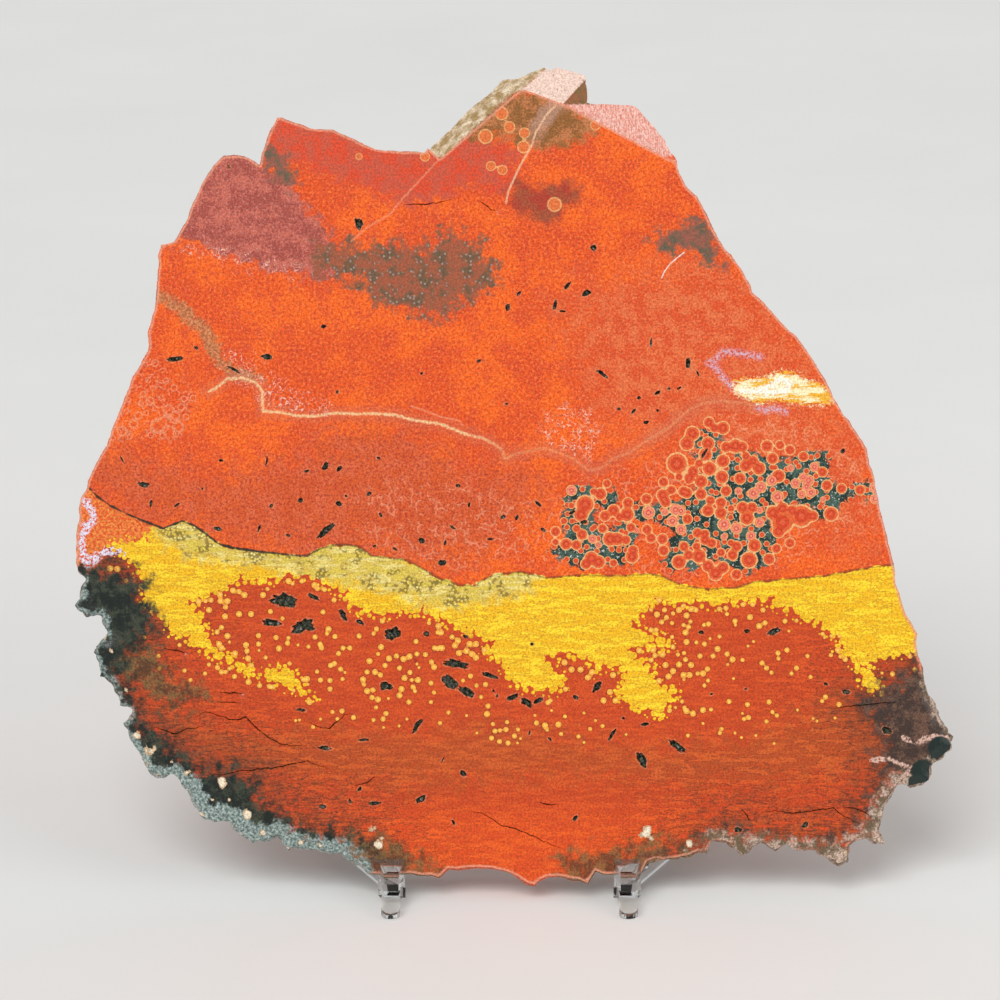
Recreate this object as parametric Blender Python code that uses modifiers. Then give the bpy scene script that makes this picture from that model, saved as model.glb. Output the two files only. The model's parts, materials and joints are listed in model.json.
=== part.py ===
"""A polished slab of orbicular jasper that leans in a small clear easel.

World axes: X to the right, Y away from the viewer, Z up. The slab's face looks along -Y and up.
Units are metres. Places on the slab's face are read from a photograph of 1000 x 1000 pixels.
"""

import math
import random

import bmesh
import bpy
from mathutils import Matrix, Vector

MM = 0.001
SEED = 7

# Driving dimensions of the slab
SLAB_WIDTH = 176.8 * MM
SLAB_THICKNESS = 6.4 * MM
LEAN = math.radians(17)
REST_HEIGHT = 5.3 * MM
EDGE_STEP = 1.9 * MM
FACET_CLEARANCE = 8 * MM
GAP = 0.3 * MM

# Pixels that fix the scale: the slab's leftmost and rightmost points, and the level it rests at
LEFT_PIXEL = 71.5
RIGHT_PIXEL = 955.5
REST_PIXEL = 876.0

# Driving dimensions of the easel
LEG_SPREAD = 47.2 * MM
LEG_OFFSET = -0.8 * MM
SPLAY = math.radians(25)
FRAME_WIDTH = 2.4 * MM
BAR_BOTTOM = 2.1 * MM
BAR_TOP = 4.3 * MM
LIP_FRONT = -4.6 * MM
LIP_BOTTOM = 1.8 * MM
LIP_FRONT_TOP = 7.7 * MM
LIP_BACK_TOP = 8.6 * MM
LIP_FRONT_WIDTH = 3.0 * MM
LIP_BACK_WIDTH = 5.4 * MM
TOE_LENGTH = 5.8 * MM
TOE_WIDTH = 3.8 * MM
TOE_THICKNESS = 1.9 * MM
TOE_ROOT_TOP = 4.1 * MM
TOE_SOLE_DEPTH = 0.35 * MM
TOE_ROOT_INSIDE_LIP = 2.5 * MM
TOE_END_STEPS = 12
UPRIGHT_LENGTH = 66 * MM
UPRIGHT_DEPTH = 2.8 * MM
BRACE_START = 50 * MM
BRACE_WIDTH = 2.6 * MM
REAR_REACH = 52 * MM
REAR_FOOT_LENGTH = 4.5 * MM
REAR_FOOT_CHAMFER = 1.5 * MM
FRAME_START = 1.0 * MM
HEEL_RISE = 1.0 * MM
GUSSET = 8.5 * MM
ROD_RADIUS = 1.5 * MM
ROD_LENGTH = 68 * MM
ROD_BEHIND_SLAB = 5.6 * MM
ROD_HEIGHT = 7.4 * MM
ROD_END_BEVEL = 0.4 * MM

# The slab's outline, clockwise from the left shoulder, in pixels of the photograph
LEFT_SHOULDER = [
    (148, 345), (147, 332), (151, 318), (155, 301), (156, 288), (157, 272), (157, 257), (160, 244),
]
UPPER_LEFT_LOBE = [
    (173, 241), (184, 223), (192, 202), (202, 180), (213, 164), (223, 155), (236, 154), (248, 156), (259, 164),
]
TOP_LEFT = [
    (261, 152), (265, 142), (270, 129), (276, 116), (282, 116), (297, 122), (318, 128), (332, 128), (345, 134),
    (360, 141), (378, 148), (401, 150), (424, 151),
]
PEAK = [
    (434, 140), (447, 128), (462, 111), (478, 97), (491, 86), (503, 74), (518, 74), (531, 67), (543, 61),
    (548, 66), (558, 61), (577, 64), (589, 71), (588, 101),
]
TOP_RIGHT = [
    (608, 101), (635, 101), (641, 105), (655, 123), (666, 138), (672, 151), (678, 160), (682, 175), (686, 184),
    (698, 196), (707, 213), (715, 230), (726, 248), (742, 267), (752, 286), (753, 292), (764, 302), (776, 314),
    (784, 324), (797, 335), (811, 354), (821, 371), (834, 395),
]
RIGHT_EDGE = [
    (844, 413), (859, 434), (868, 449), (870, 464), (876, 476), (878, 493), (885, 524), (889, 543), (896, 570),
    (897, 583), (907, 614), (919, 634), (917, 641), (919, 655),
]
RIGHT_RIND = [
    (926, 670), (931, 687), (938, 702), (943, 718), (951, 728), (955.5, 737), (954, 752), (945, 760), (935, 769),
    (933, 783), (926, 788), (912, 791), (900, 788), (897, 796), (888, 806), (886, 821), (882, 831), (888, 842),
    (886, 848), (876, 847), (866, 842), (853, 848), (850, 865), (837, 869), (826, 862), (815, 854), (794, 854),
    (786, 849), (775, 854), (763, 848), (754, 850), (743, 860), (736, 854), (725, 846), (713, 844), (708, 857),
    (700, 856), (680, 863), (661, 864), (650, 866),
]
RIGHT_REST = [(644, 875.5), (604, 875.5)]
BOTTOM = [
    (597, 874), (589, 887), (570, 882), (549, 880), (535, 889), (517, 881), (501, 874), (478, 871), (449, 872),
    (439, 881), (423, 879), (411, 877),
]
LEFT_REST = [(404, 875.5), (367, 875.5)]
LEFT_RIND = [
    (361, 871), (354, 867), (340, 858), (318, 854), (305, 853), (293, 851), (286, 855), (276, 839), (267, 845),
    (251, 845), (234, 835), (228, 824), (213, 825), (196, 818), (190, 805), (182, 790), (171, 780), (163, 781),
    (152, 779), (144, 772), (129, 746), (119, 724), (128, 711), (117, 707), (110, 686), (96, 679), (95, 663),
    (90, 653), (96, 642), (103, 631), (98, 619), (85, 619), (71.5, 606), (77, 592), (81, 579),
]
LEFT_EDGE = [
    (76, 571), (75, 560), (75, 537), (78, 518), (79, 499), (86, 485), (88, 478), (96, 462), (106, 445), (114, 422),
    (123, 399), (131, 378), (140, 363), (147, 351),
]

# Each stretch of the outline with its kind of edge
BROKEN, LUMPY, FLAT = "broken", "lumpy", "flat"
STRETCHES = [
    (LEFT_SHOULDER, BROKEN), (UPPER_LEFT_LOBE, BROKEN), (TOP_LEFT, BROKEN), (PEAK, BROKEN), (TOP_RIGHT, BROKEN),
    (RIGHT_EDGE, BROKEN), (RIGHT_RIND, LUMPY), (RIGHT_REST, FLAT), (BOTTOM, LUMPY), (LEFT_REST, FLAT),
    (LEFT_RIND, LUMPY), (LEFT_EDGE, BROKEN),
]
# How rough each kind of edge is, and its profile: depth as a share of the thickness, inset from the outline
ROUGHNESS = {BROKEN: 0.16 * MM, LUMPY: 0.34 * MM, FLAT: 0.0}
PROFILES = {
    BROKEN: [(0, 0.25 * MM), (0.06, 0.0), (0.5, 0.12 * MM), (0.93, 0.35 * MM), (1, 0.7 * MM)],
    LUMPY: [(0, 0.75 * MM), (0.12, 0.25 * MM), (0.42, 0.0), (0.8, 0.5 * MM), (1, 1.5 * MM)],
    FLAT: [(0, 0.3 * MM), (0.06, 0.0), (0.5, 0.4 * MM), (0.93, 0.8 * MM), (1, 1.3 * MM)],
}

# Fracture facets at the peak. Each has three places on its plane, as a pixel and a depth in shares
# of the slab's thickness, and the four pixels that bound what it cuts away.
FACETS = {
    "left_bevel": (
        (((444, 155), 0), ((519, 90), 0), ((478, 97), 1)),
        ((440, 159), (528, 83), (492, 40), (411, 132)),
    ),
    "upper_bevel": (
        (((521, 90), 0), ((553, 62), 1), ((503, 74), 1)),
        ((516, 92), (560, 80), (560, 40), (492, 40)),
    ),
    "quad_facet": (
        (((522, 90), 0), ((559.5, 103), 0), ((587, 73), 1)),
        ((500, 80), (560, 102.4), (612, 60), (540, 30)),
    ),
    "brown_facet": (
        (((560, 101.7), 0), ((587, 73), 1), ((588, 101), 0.42)),
        ((556, 101.4), (604, 101.4), (620, 40), (540, 40)),
    ),
    "right_facet": (
        (((560, 101.5), 0), ((664.5, 156.5), 0), ((635, 101), 1)),
        ((560, 101.5), (670, 159.4), (730, 158), (640, 97)),
    ),
}

# The larger vugs in the polished face: centre in pixels, length and width in pixels, turn in degrees, depth
VUGS = [
    ((284, 601), 24, 17, 10, 1.3 * MM),
    ((296, 624), 30, 11, -20, 1.0 * MM),
    ((351, 619), 16, 7, -25, 0.8 * MM),
    ((392, 634), 17, 15, 0, 1.3 * MM),
    ((455, 664), 26, 9, 5, 1.1 * MM),
    ((463, 690), 18, 9, -30, 1.0 * MM),
    ((522, 700), 32, 8, -12, 1.0 * MM),
    ((598, 686), 15, 8, 30, 0.9 * MM),
    ((677, 746), 19, 11, 40, 1.2 * MM),
    ((642, 760), 12, 15, 0, 1.1 * MM),
    ((611, 735), 17, 5, 60, 0.7 * MM),
    ((416, 726), 18, 6, 60, 0.8 * MM),
]


def clear_scene():
    """Remove every object of the start-up scene."""
    for thing in list(bpy.data.objects):
        bpy.data.objects.remove(thing, do_unlink=True)


def new_collection(name):
    """Make a collection in the scene."""
    made = bpy.data.collections.new(name)
    bpy.context.scene.collection.children.link(made)
    return made


def new_object(name, mesh, collection):
    """Put a mesh in a new object of the collection."""
    made = bpy.data.objects.new(name, mesh)
    collection.objects.link(made)
    return made


def mesh_from(bm, name):
    """Turn a bmesh into a mesh and free it."""
    mesh = bpy.data.meshes.new(name)
    bm.to_mesh(mesh)
    bm.free()
    return mesh


def jasper_material():
    """Polished red-orange stone."""
    material = bpy.data.materials.new("polished_jasper")
    material.use_nodes = True
    shader = material.node_tree.nodes["Principled BSDF"]
    shader.inputs["Base Color"].default_value = (0.62, 0.11, 0.03, 1)
    shader.inputs["Roughness"].default_value = 0.15
    shader.inputs["Metallic"].default_value = 0.0
    return material


def plastic_material(name):
    """Clear moulded plastic."""
    material = bpy.data.materials.new(name)
    material.use_nodes = True
    shader = material.node_tree.nodes["Principled BSDF"]
    shader.inputs["Base Color"].default_value = (0.95, 0.97, 1.0, 1)
    shader.inputs["Roughness"].default_value = 0.05
    shader.inputs["Metallic"].default_value = 0.0
    shader.inputs["Transmission Weight"].default_value = 1.0
    shader.inputs["IOR"].default_value = 1.49
    return material


def on_face(pixel):
    """Turn a pixel of the photograph into a place on the slab's face: X to the right, Y up the slab."""
    scale = SLAB_WIDTH / (RIGHT_PIXEL - LEFT_PIXEL)
    middle = (LEFT_PIXEL + RIGHT_PIXEL) / 2
    return Vector(((pixel[0] - middle) * scale, (REST_PIXEL - pixel[1]) * scale))


def pixel_length(pixels):
    """Turn a length in pixels into metres."""
    return pixels * SLAB_WIDTH / (RIGHT_PIXEL - LEFT_PIXEL)


def outline_points(rng):
    """Return the outline in even steps, as (place, kind of edge), roughened as its kind asks."""
    corners = [(on_face(pixel), kind) for stretch, kind in STRETCHES for pixel in stretch]
    points = []
    for index, (start, kind) in enumerate(corners):
        end = corners[(index + 1) % len(corners)][0]
        run = end - start
        across = Vector((-run.y, run.x)).normalized()
        steps = max(1, round(run.length / EDGE_STEP))
        for step in range(steps):
            wobble = 0 if step == 0 else rng.uniform(-1, 1) * ROUGHNESS[kind]
            points.append((start + run * step / steps + across * wobble, kind))
    return points


def outward_normals(places):
    """Return the outline's outward direction at each place, eased over its neighbours."""
    count = len(places)
    normals = []
    for index in range(count):
        along = places[(index + 2) % count] - places[index - 2]
        normals.append(Vector((-along.y, along.x)).normalized())
    return normals


def slab_mesh():
    """Loft the slab from its front outline, over its edge profile, to its back outline."""
    rng = random.Random(SEED)
    points = outline_points(rng)
    places = [place for place, _ in points]
    normals = outward_normals(places)
    bm = bmesh.new()
    rings = []
    for level in range(len(PROFILES[BROKEN])):
        ring = []
        for place, normal, (_, kind) in zip(places, normals, points):
            depth, inset = PROFILES[kind][level]
            inner_ring = 0 < level < len(PROFILES[kind]) - 1
            jitter = rng.uniform(0, 0.8) * ROUGHNESS[kind] if inner_ring else 0
            spot = place - normal * (inset + jitter)
            ring.append(bm.verts.new((spot.x, spot.y, -depth * SLAB_THICKNESS)))
        rings.append(ring)
    count = len(places)
    for upper, lower in zip(rings, rings[1:]):
        for index in range(count):
            after = (index + 1) % count
            bm.faces.new((upper[index], upper[after], lower[after], lower[index]))
    bm.faces.new(rings[0])
    bm.faces.new(rings[-1])
    bmesh.ops.recalc_face_normals(bm, faces=bm.faces)
    return mesh_from(bm, "jasper_slab")


def plane_through(places):
    """Return the depth below the face of the plane through three places, as a function of x and y."""
    spots = [Vector((*on_face(pixel), -depth * SLAB_THICKNESS)) for pixel, depth in places]
    normal = (spots[1] - spots[0]).cross(spots[2] - spots[0])
    return lambda x, y: spots[0].z - (normal.x * (x - spots[0].x) + normal.y * (y - spots[0].y)) / normal.z


def facet_cutter(name, places, bounds, collection):
    """Make a block that stands on a fracture plane and reaches out past the face. It is cut from the slab."""
    height_of = plane_through(places)
    corners = [on_face(pixel) for pixel in bounds]
    around = [(-1, -1), (1, -1), (1, 1), (-1, 1)]
    bm = bmesh.new()
    bmesh.ops.create_cube(bm, size=2)
    for vert in bm.verts:
        corner = corners[around.index((round(vert.co.x), round(vert.co.y)))]
        z = FACET_CLEARANCE if vert.co.z > 0 else height_of(corner.x, corner.y)
        vert.co = (corner.x, corner.y, z)
    bmesh.ops.recalc_face_normals(bm, faces=bm.faces)
    return new_object(name, mesh_from(bm, name), collection)


def vug_cutter(collection):
    """Make the uneven hollows of the vugs, all in one cutter."""
    rng = random.Random(SEED + 1)
    bm = bmesh.new()
    for centre, length, width, turn, depth in VUGS:
        made = bmesh.ops.create_icosphere(bm, subdivisions=2, radius=1)["verts"]
        for vert in made:
            vert.co *= rng.uniform(0.82, 1.12)
        half_size = (pixel_length(length) / 2, pixel_length(width) / 2, depth)
        bmesh.ops.scale(bm, vec=half_size, verts=made)
        bmesh.ops.rotate(bm, cent=(0, 0, 0), matrix=Matrix.Rotation(math.radians(turn), 3, "Z"), verts=made)
        bmesh.ops.translate(bm, vec=(*on_face(centre), 0), verts=made)
    return new_object("vug_cutter", mesh_from(bm, "vug_cutter"), collection)


def cut(body, cutter):
    """Cut one object from another with a Boolean modifier."""
    cutter.hide_render = True
    cutter.display_type = "WIRE"
    modifier = body.modifiers.new(f"cut_{cutter.name}", "BOOLEAN")
    modifier.operation = "DIFFERENCE"
    modifier.solver = "EXACT"
    modifier.object = cutter


def union(body, addition):
    """Join one object to another with a Boolean modifier. The addition then only guides the shape."""
    addition.hide_render = True
    addition.display_type = "WIRE"
    modifier = body.modifiers.new(f"join_{addition.name}", "BOOLEAN")
    modifier.operation = "UNION"
    modifier.solver = "EXACT"
    modifier.object = addition


def make_slab(front, parts, cutters):
    """Make the jasper slab with its facets and vugs, leaning back from its rest."""
    seat = bpy.data.objects.new("slab_seat", None)
    parts.objects.link(seat)
    seat.location = (0, front, REST_HEIGHT)
    seat.rotation_euler = (math.pi / 2 - LEAN, 0, 0)
    slab = new_object("jasper_slab", slab_mesh(), parts)
    slab.data.materials.append(jasper_material())
    slab.parent = seat
    for name, (places, bounds) in FACETS.items():
        cutter = facet_cutter(name, places, bounds, cutters)
        cutter.parent = seat
        cut(slab, cutter)
    cutter = vug_cutter(cutters)
    cutter.parent = seat
    cut(slab, cutter)


def behind_face(depth, height):
    """Return (y, z) of a place behind the slab's face, measured square to it and up along it."""
    return (
        height * math.sin(LEAN) + depth * math.cos(LEAN),
        REST_HEIGHT + height * math.cos(LEAN) - depth * math.sin(LEAN),
    )


def at_level(depth, level):
    """Return (y, z) where a line parallel to the slab, at a depth behind its face, passes a level."""
    height = (level - REST_HEIGHT + depth * math.sin(LEAN)) / math.cos(LEAN)
    return behind_face(depth, height)


def round_top(depth, thickness, height, steps=6):
    """Return the points of an upright's rounded end, from its back to its front."""
    middle, radius = depth + thickness / 2, thickness / 2
    angles = [math.pi * step / steps for step in range(steps + 1)]
    return [behind_face(middle + radius * math.cos(a), height + radius * math.sin(a)) for a in angles]


def rod_centre():
    """Return (y, z) of the cross rod."""
    return at_level(SLAB_THICKNESS + ROD_BEHIND_SLAB, ROD_HEIGHT)


def rod_hole(sides=24):
    """Return the outline of the hole that the cross rod passes through."""
    y, z = rod_centre()
    radius = ROD_RADIUS + GAP
    angles = [2 * math.pi * step / sides for step in range(sides)]
    return [(y + radius * math.cos(a), z + radius * math.sin(a)) for a in angles]


def frame_outlines():
    """Return the side frame's outer outline, its triangular window and the rod's hole, as (y, z) places."""
    front_line = SLAB_THICKNESS + GAP
    back_line = front_line + UPRIGHT_DEPTH
    outer = [
        (LIP_FRONT + FRAME_START, BAR_BOTTOM),
        (REAR_REACH - REAR_FOOT_LENGTH - REAR_FOOT_CHAMFER, BAR_BOTTOM),
        (REAR_REACH - REAR_FOOT_LENGTH, 0),
        (REAR_REACH, 0),
        (REAR_REACH, BAR_TOP + HEEL_RISE),
        behind_face(back_line, BRACE_START),
        *round_top(front_line, UPRIGHT_DEPTH, UPRIGHT_LENGTH),
        at_level(front_line, BAR_TOP),
        (LIP_FRONT + FRAME_START, BAR_TOP),
    ]
    corner = at_level(back_line, BAR_TOP)
    window = [
        (corner[0] + GUSSET, BAR_TOP),
        (REAR_REACH - 2.2 * BRACE_WIDTH, BAR_TOP),
        behind_face(back_line, BRACE_START - 1.5 * BRACE_WIDTH),
        at_level(back_line, BAR_TOP + GUSSET),
    ]
    return outer, window, rod_hole()


def add_flat_spline(curve, points):
    """Add a closed straight-sided spline to a 2D curve."""
    spline = curve.splines.new("POLY")
    spline.points.add(len(points) - 1)
    for point, (x, y) in zip(spline.points, points):
        point.co = (x, y, 0, 1)
    spline.use_cyclic_u = True


def flat_piece(name, outlines, thickness):
    """Make a mesh of a flat outline, with its windows, extruded evenly to both sides."""
    curve = bpy.data.curves.new(name, "CURVE")
    curve.dimensions = "2D"
    curve.fill_mode = "BOTH"
    curve.extrude = thickness / 2
    for points in outlines:
        add_flat_spline(curve, points)
    holder = bpy.data.objects.new(name, curve)
    bpy.context.scene.collection.objects.link(holder)
    evaluated = holder.evaluated_get(bpy.context.evaluated_depsgraph_get())
    mesh = bpy.data.meshes.new_from_object(evaluated)
    bpy.data.objects.remove(holder, do_unlink=True)
    bpy.data.curves.remove(curve)
    bm = bmesh.new()
    bm.from_mesh(mesh)
    bpy.data.meshes.remove(mesh)
    bmesh.ops.remove_doubles(bm, verts=bm.verts, dist=0.00001)
    bmesh.ops.recalc_face_normals(bm, faces=bm.faces)
    return mesh_from(bm, name)


def frame_mesh(name, side):
    """Make one side frame in the upright plane, then splay it outward towards the back."""
    mesh = flat_piece(name, frame_outlines(), FRAME_WIDTH)
    upright = Matrix(((0, 0, 1, 0), (1, 0, 0, 0), (0, 1, 0, 0), (0, 0, 0, 1)))
    splay = Matrix.Identity(4)
    splay[0][1] = side * math.tan(SPLAY)
    mesh.transform(splay @ upright)
    return mesh


def lip_object(name, collection):
    """Make the lip: a block that widens towards the slab and whose back lies along the slab's face."""
    low_back, high_back = at_level(-GAP, LIP_BOTTOM), at_level(-GAP, LIP_BACK_TOP)
    bm = bmesh.new()
    bmesh.ops.create_cube(bm, size=2)
    for vert in bm.verts:
        side, back, top = vert.co.x, vert.co.y > 0, vert.co.z > 0
        half_width = (LIP_BACK_WIDTH if back else LIP_FRONT_WIDTH) / 2
        if back:
            y, z = high_back if top else low_back
        else:
            y, z = LIP_FRONT, LIP_FRONT_TOP if top else LIP_BOTTOM
        vert.co = (side * half_width, y, z)
    return new_object(name, mesh_from(bm, name), collection)


def toe_object(name, collection):
    """Make the toe: a tab with a round end that slopes from the lip down to the ground, with a flat sole."""
    radius = TOE_WIDTH / 2
    angles = [math.pi * (1 + step / TOE_END_STEPS) for step in range(TOE_END_STEPS + 1)]
    round_end = [(radius * math.cos(a), radius - TOE_LENGTH + radius * math.sin(a)) for a in angles]
    outline = [(radius, TOE_ROOT_INSIDE_LIP), (-radius, TOE_ROOT_INSIDE_LIP), *round_end]
    mesh = flat_piece(name, [outline], TOE_THICKNESS)
    slope = math.asin((TOE_ROOT_TOP - TOE_THICKNESS) / TOE_LENGTH)
    mesh.transform(Matrix.Rotation(slope, 4, "X"))
    lowest = min(vert.co.z for vert in mesh.vertices)
    mesh.transform(Matrix.Translation((0, LIP_FRONT, -lowest - TOE_SOLE_DEPTH)))
    bm = bmesh.new()
    bm.from_mesh(mesh)
    everything = bm.verts[:] + bm.edges[:] + bm.faces[:]
    ground, down = (0, 0, 0), (0, 0, -1)
    sole = bmesh.ops.bisect_plane(
        bm, geom=everything, plane_co=ground, plane_no=down, clear_outer=True
    )
    rim = [edge for edge in sole["geom_cut"] if isinstance(edge, bmesh.types.BMEdge)]
    bmesh.ops.holes_fill(bm, edges=rim)
    bmesh.ops.recalc_face_normals(bm, faces=bm.faces)
    bm.to_mesh(mesh)
    bm.free()
    return new_object(name, mesh, collection)


def make_leg(word, side, front, parts, cutters):
    """Make one side frame of the easel with its lip and toe, as one moulded piece."""
    name = f"stand_leg_{word}"
    leg = new_object(name, frame_mesh(name, side), parts)
    leg.data.materials.append(plastic_material(f"clear_plastic_{word}"))
    lip = lip_object(f"lip_{word}", cutters)
    toe = toe_object(f"toe_{word}", cutters)
    for piece in (leg, lip, toe):
        piece.location = (LEG_OFFSET + side * LEG_SPREAD / 2, front, 0)
    union(leg, lip)
    union(leg, toe)


def make_rod(front, parts):
    """Make the cross rod with its eased ends."""
    bm = bmesh.new()
    bmesh.ops.create_cone(
        bm, cap_ends=True, segments=24, radius1=ROD_RADIUS, radius2=ROD_RADIUS, depth=ROD_LENGTH
    )
    rod = new_object("stand_rod", mesh_from(bm, "stand_rod"), parts)
    y, z = rod_centre()
    rod.location = (LEG_OFFSET, front + y, z)
    rod.rotation_euler = (0, math.pi / 2, 0)
    rod.data.shade_smooth()
    rod.data.set_sharp_from_angle(angle=math.radians(30))
    rod.data.materials.append(plastic_material("clear_plastic_rod"))
    bevel = rod.modifiers.new("eased_ends", "BEVEL")
    bevel.width = ROD_END_BEVEL
    bevel.segments = 2
    bevel.limit_method = "ANGLE"


def face_place():
    """Return the Y of the slab's lower front edge that centres the whole object on the origin."""
    top = on_face(min((pixel for stretch, _ in STRETCHES for pixel in stretch), key=lambda pixel: pixel[1]))
    rearmost = behind_face(SLAB_THICKNESS, top.y)[0]
    foremost = LIP_FRONT - TOE_LENGTH
    return -(rearmost + foremost) / 2


def build():
    clear_scene()
    parts = new_collection("jasper_slab_on_easel")
    cutters = new_collection("cutters")
    front = face_place()
    make_slab(front, parts, cutters)
    for word, side in (("left", -1), ("right", 1)):
        make_leg(word, side, front, parts, cutters)
    make_rod(front, parts)


build()
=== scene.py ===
"""A polished slab of orbicular jasper on a clear easel: its fine surface, materials, lights and camera.

The slab is modelled in its own frame, in millimetres: X to the right, Y up the slab, Z out of its face.
Places on the face are pixels of a photograph of 1000 x 1000 pixels that looks square on to it.
"""

import json
import math
import random

import bmesh
import bpy
import numpy as np
from mathutils import Matrix, Vector, kdtree, noise
from mathutils.geometry import delaunay_2d_cdt

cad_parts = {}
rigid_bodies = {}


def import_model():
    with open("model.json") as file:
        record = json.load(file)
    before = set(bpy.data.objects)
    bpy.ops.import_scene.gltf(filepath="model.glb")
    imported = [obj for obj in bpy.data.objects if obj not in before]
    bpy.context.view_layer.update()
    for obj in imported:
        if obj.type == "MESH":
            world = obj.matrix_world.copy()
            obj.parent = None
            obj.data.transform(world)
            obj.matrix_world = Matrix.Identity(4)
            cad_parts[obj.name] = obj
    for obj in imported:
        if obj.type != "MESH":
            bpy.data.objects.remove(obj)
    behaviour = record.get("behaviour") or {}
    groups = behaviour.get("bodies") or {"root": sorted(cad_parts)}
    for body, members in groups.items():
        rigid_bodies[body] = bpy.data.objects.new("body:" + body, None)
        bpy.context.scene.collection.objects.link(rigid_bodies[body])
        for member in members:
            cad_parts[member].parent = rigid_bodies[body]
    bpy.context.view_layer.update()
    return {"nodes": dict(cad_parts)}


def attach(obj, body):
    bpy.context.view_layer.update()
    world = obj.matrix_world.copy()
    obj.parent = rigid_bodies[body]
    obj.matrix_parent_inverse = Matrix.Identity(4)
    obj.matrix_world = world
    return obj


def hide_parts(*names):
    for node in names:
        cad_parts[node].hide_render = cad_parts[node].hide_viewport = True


MM = 0.001
SEED = 11

# Where the slab leans and how the photograph's pixels lie on it
LEAN = math.radians(17)
REST_HEIGHT = 5.3 * MM
THICKNESS = 6.4
PIXEL = 0.2
MIDDLE_PIXEL = 513.5
REST_PIXEL = 876.0

# How fine the mesh is, in millimetres
RIM_STEP = 0.62
FACE_STEP = 1.15
BACK_STEP = 1.9
ROW_STEP = 0.866
CLEAR_OF_EDGE = 0.45
CLEAR_OF_FEATURE = 0.32
VEIN_STEP = 0.45
VEIN_SIDE = 0.6
VEIN_GAP = 0.2
SPOT_GAP = 0.15
ZONE_STEP = 0.8
ZONE_GAP = 0.3
FLAT_SLACK = 0.02
WELD = 0.001
SHARP_ANGLE = math.radians(38)

# The broken rim: depths in millimetres, and the scales of its noise for each millimetre
HACKLE_DEPTH = 0.34
HACKLE_SCALE = 0.55
KNOB_DEPTH = 0.85
KNOB_SCALE = 0.42
ROLL_WIDTH = 2.6
ROLL_HEIGHT = 2.2

# Cracks, and the pits in the back, in millimetres
CRACK_STEP = 0.7
CRACK_DEPTH = 0.35
BACK_PITS = 60
BACK_PIT_GAP = 4.5
BACK_PIT_MARGIN = 4

# The stand's rounded edges and clear plastic
EDGE_WIDTH = 0.25 * MM
EDGE_ANGLE = math.radians(35)
STAND_WELD = 0.01 * MM
PLASTIC_IOR = 1.49

# The camera looks square on to the slab's face
CAMERA_TARGET = (500, 500)
CAMERA_DISTANCE = 0.9
CAMERA_VIEW = 0.2
SENSOR = 36

# The pale floor and soft studio light: metres, radians and watts
FLOOR_REACH = 4
LIGHT_TARGET = Vector((0, 0, 0.075))
KEY_FROM = (-0.3, -0.75, 0.95)
KEY_SPREAD = math.radians(35)
KEY_STRENGTH = 1.75
FILL_FROM = (0.8, -0.5, 0.6)
FILL_SIZE = 0.8
FILL_POWER = 2.0
WORLD_STRENGTH = 0.5

# The yellow band, in pixels
BAND_TOP = [
    (84, 483), (99, 498), (112, 506.5), (125, 513), (144, 521), (163, 528.5), (175, 524), (182, 521),
    (194, 525.5), (205, 533), (219, 544), (232, 547.5), (251, 550.5), (290, 555), (307, 556),
    (318, 549.5), (335, 544.7), (350, 545), (360, 547), (372, 556), (400, 559), (407, 560), (422, 568.6),
    (441, 579), (459, 585), (474, 586), (486, 578), (499, 574), (522, 572), (535, 575.3), (547, 578),
    (580, 575), (619, 576), (653, 574), (664.5, 577), (680, 585), (706, 589), (735, 588), (754.5, 582),
    (777, 580), (824, 576), (851, 570.5), (890, 565), (905, 563),
]
BAND_LOWER_EDGE = [
    (925, 640), (930, 650), (916, 651.7), (891, 656.5), (872, 659.4), (870, 666), (876, 679.5),
    (883.7, 690), (881.8, 693), (868.4, 690), (858.8, 681.4), (857, 672), (855, 658.4), (847.3, 660.4),
    (836, 651), (841.6, 639.3), (830, 635.5), (818.6, 625), (803.3, 619.2), (792, 612.5), (776.5, 608.7),
    (771, 601), (741, 602), (720, 606), (699, 606), (682, 606), (661, 600), (648, 608), (640, 618),
    (634, 628), (646, 632), (662, 636), (672, 644), (674, 649), (655, 650), (636, 647), (630, 650),
    (638, 655.7), (651, 665), (657, 673), (653, 678.6), (662.6, 684.4), (678, 690), (678, 694),
    (666.5, 709), (660.7, 717), (645.4, 711), (634, 711), (626.3, 703.5), (615, 694), (622.4, 682.4),
    (620, 668), (609, 667), (595.7, 673), (592, 667), (584, 659.5), (563, 655.7), (548, 658),
    (549, 663.3), (562, 675), (566, 686), (558, 692), (539, 692), (522, 688), (510.5, 682.4),
    (506.6, 675), (500, 664), (490, 655), (484, 650), (491, 643), (474, 636.5), (453, 626), (438, 621),
    (430, 615.5), (422.4, 611.7), (413, 616.4), (403.3, 610.7), (390, 615.5), (376.5, 615.5),
    (361, 613.6), (350.7, 608.8), (346, 600), (336.4, 590.6), (321, 583), (304, 577), (280, 575.5),
    (278, 581), (261, 583), (243.7, 581), (232, 587), (205.4, 598), (194, 604), (201.6, 613.6),
    (205.4, 627), (211, 642), (219, 650), (238, 659.5), (249.4, 667), (259, 675), (268.5, 668),
    (287.7, 668), (297, 675), (307, 690), (318, 698.7), (297, 692), (280, 684.4), (263, 678.6),
    (242, 673), (224.5, 661.4), (209, 655.7), (194, 646), (182.4, 636.5), (171, 634.6), (169, 627),
    (155.7, 611.7), (140.4, 602), (142, 587), (136.5, 569.6), (125, 556), (108, 545), (125, 541),
    (144, 539), (152, 527),
]
BAND_ZONE = BAND_TOP[5:] + BAND_LOWER_EDGE
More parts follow.
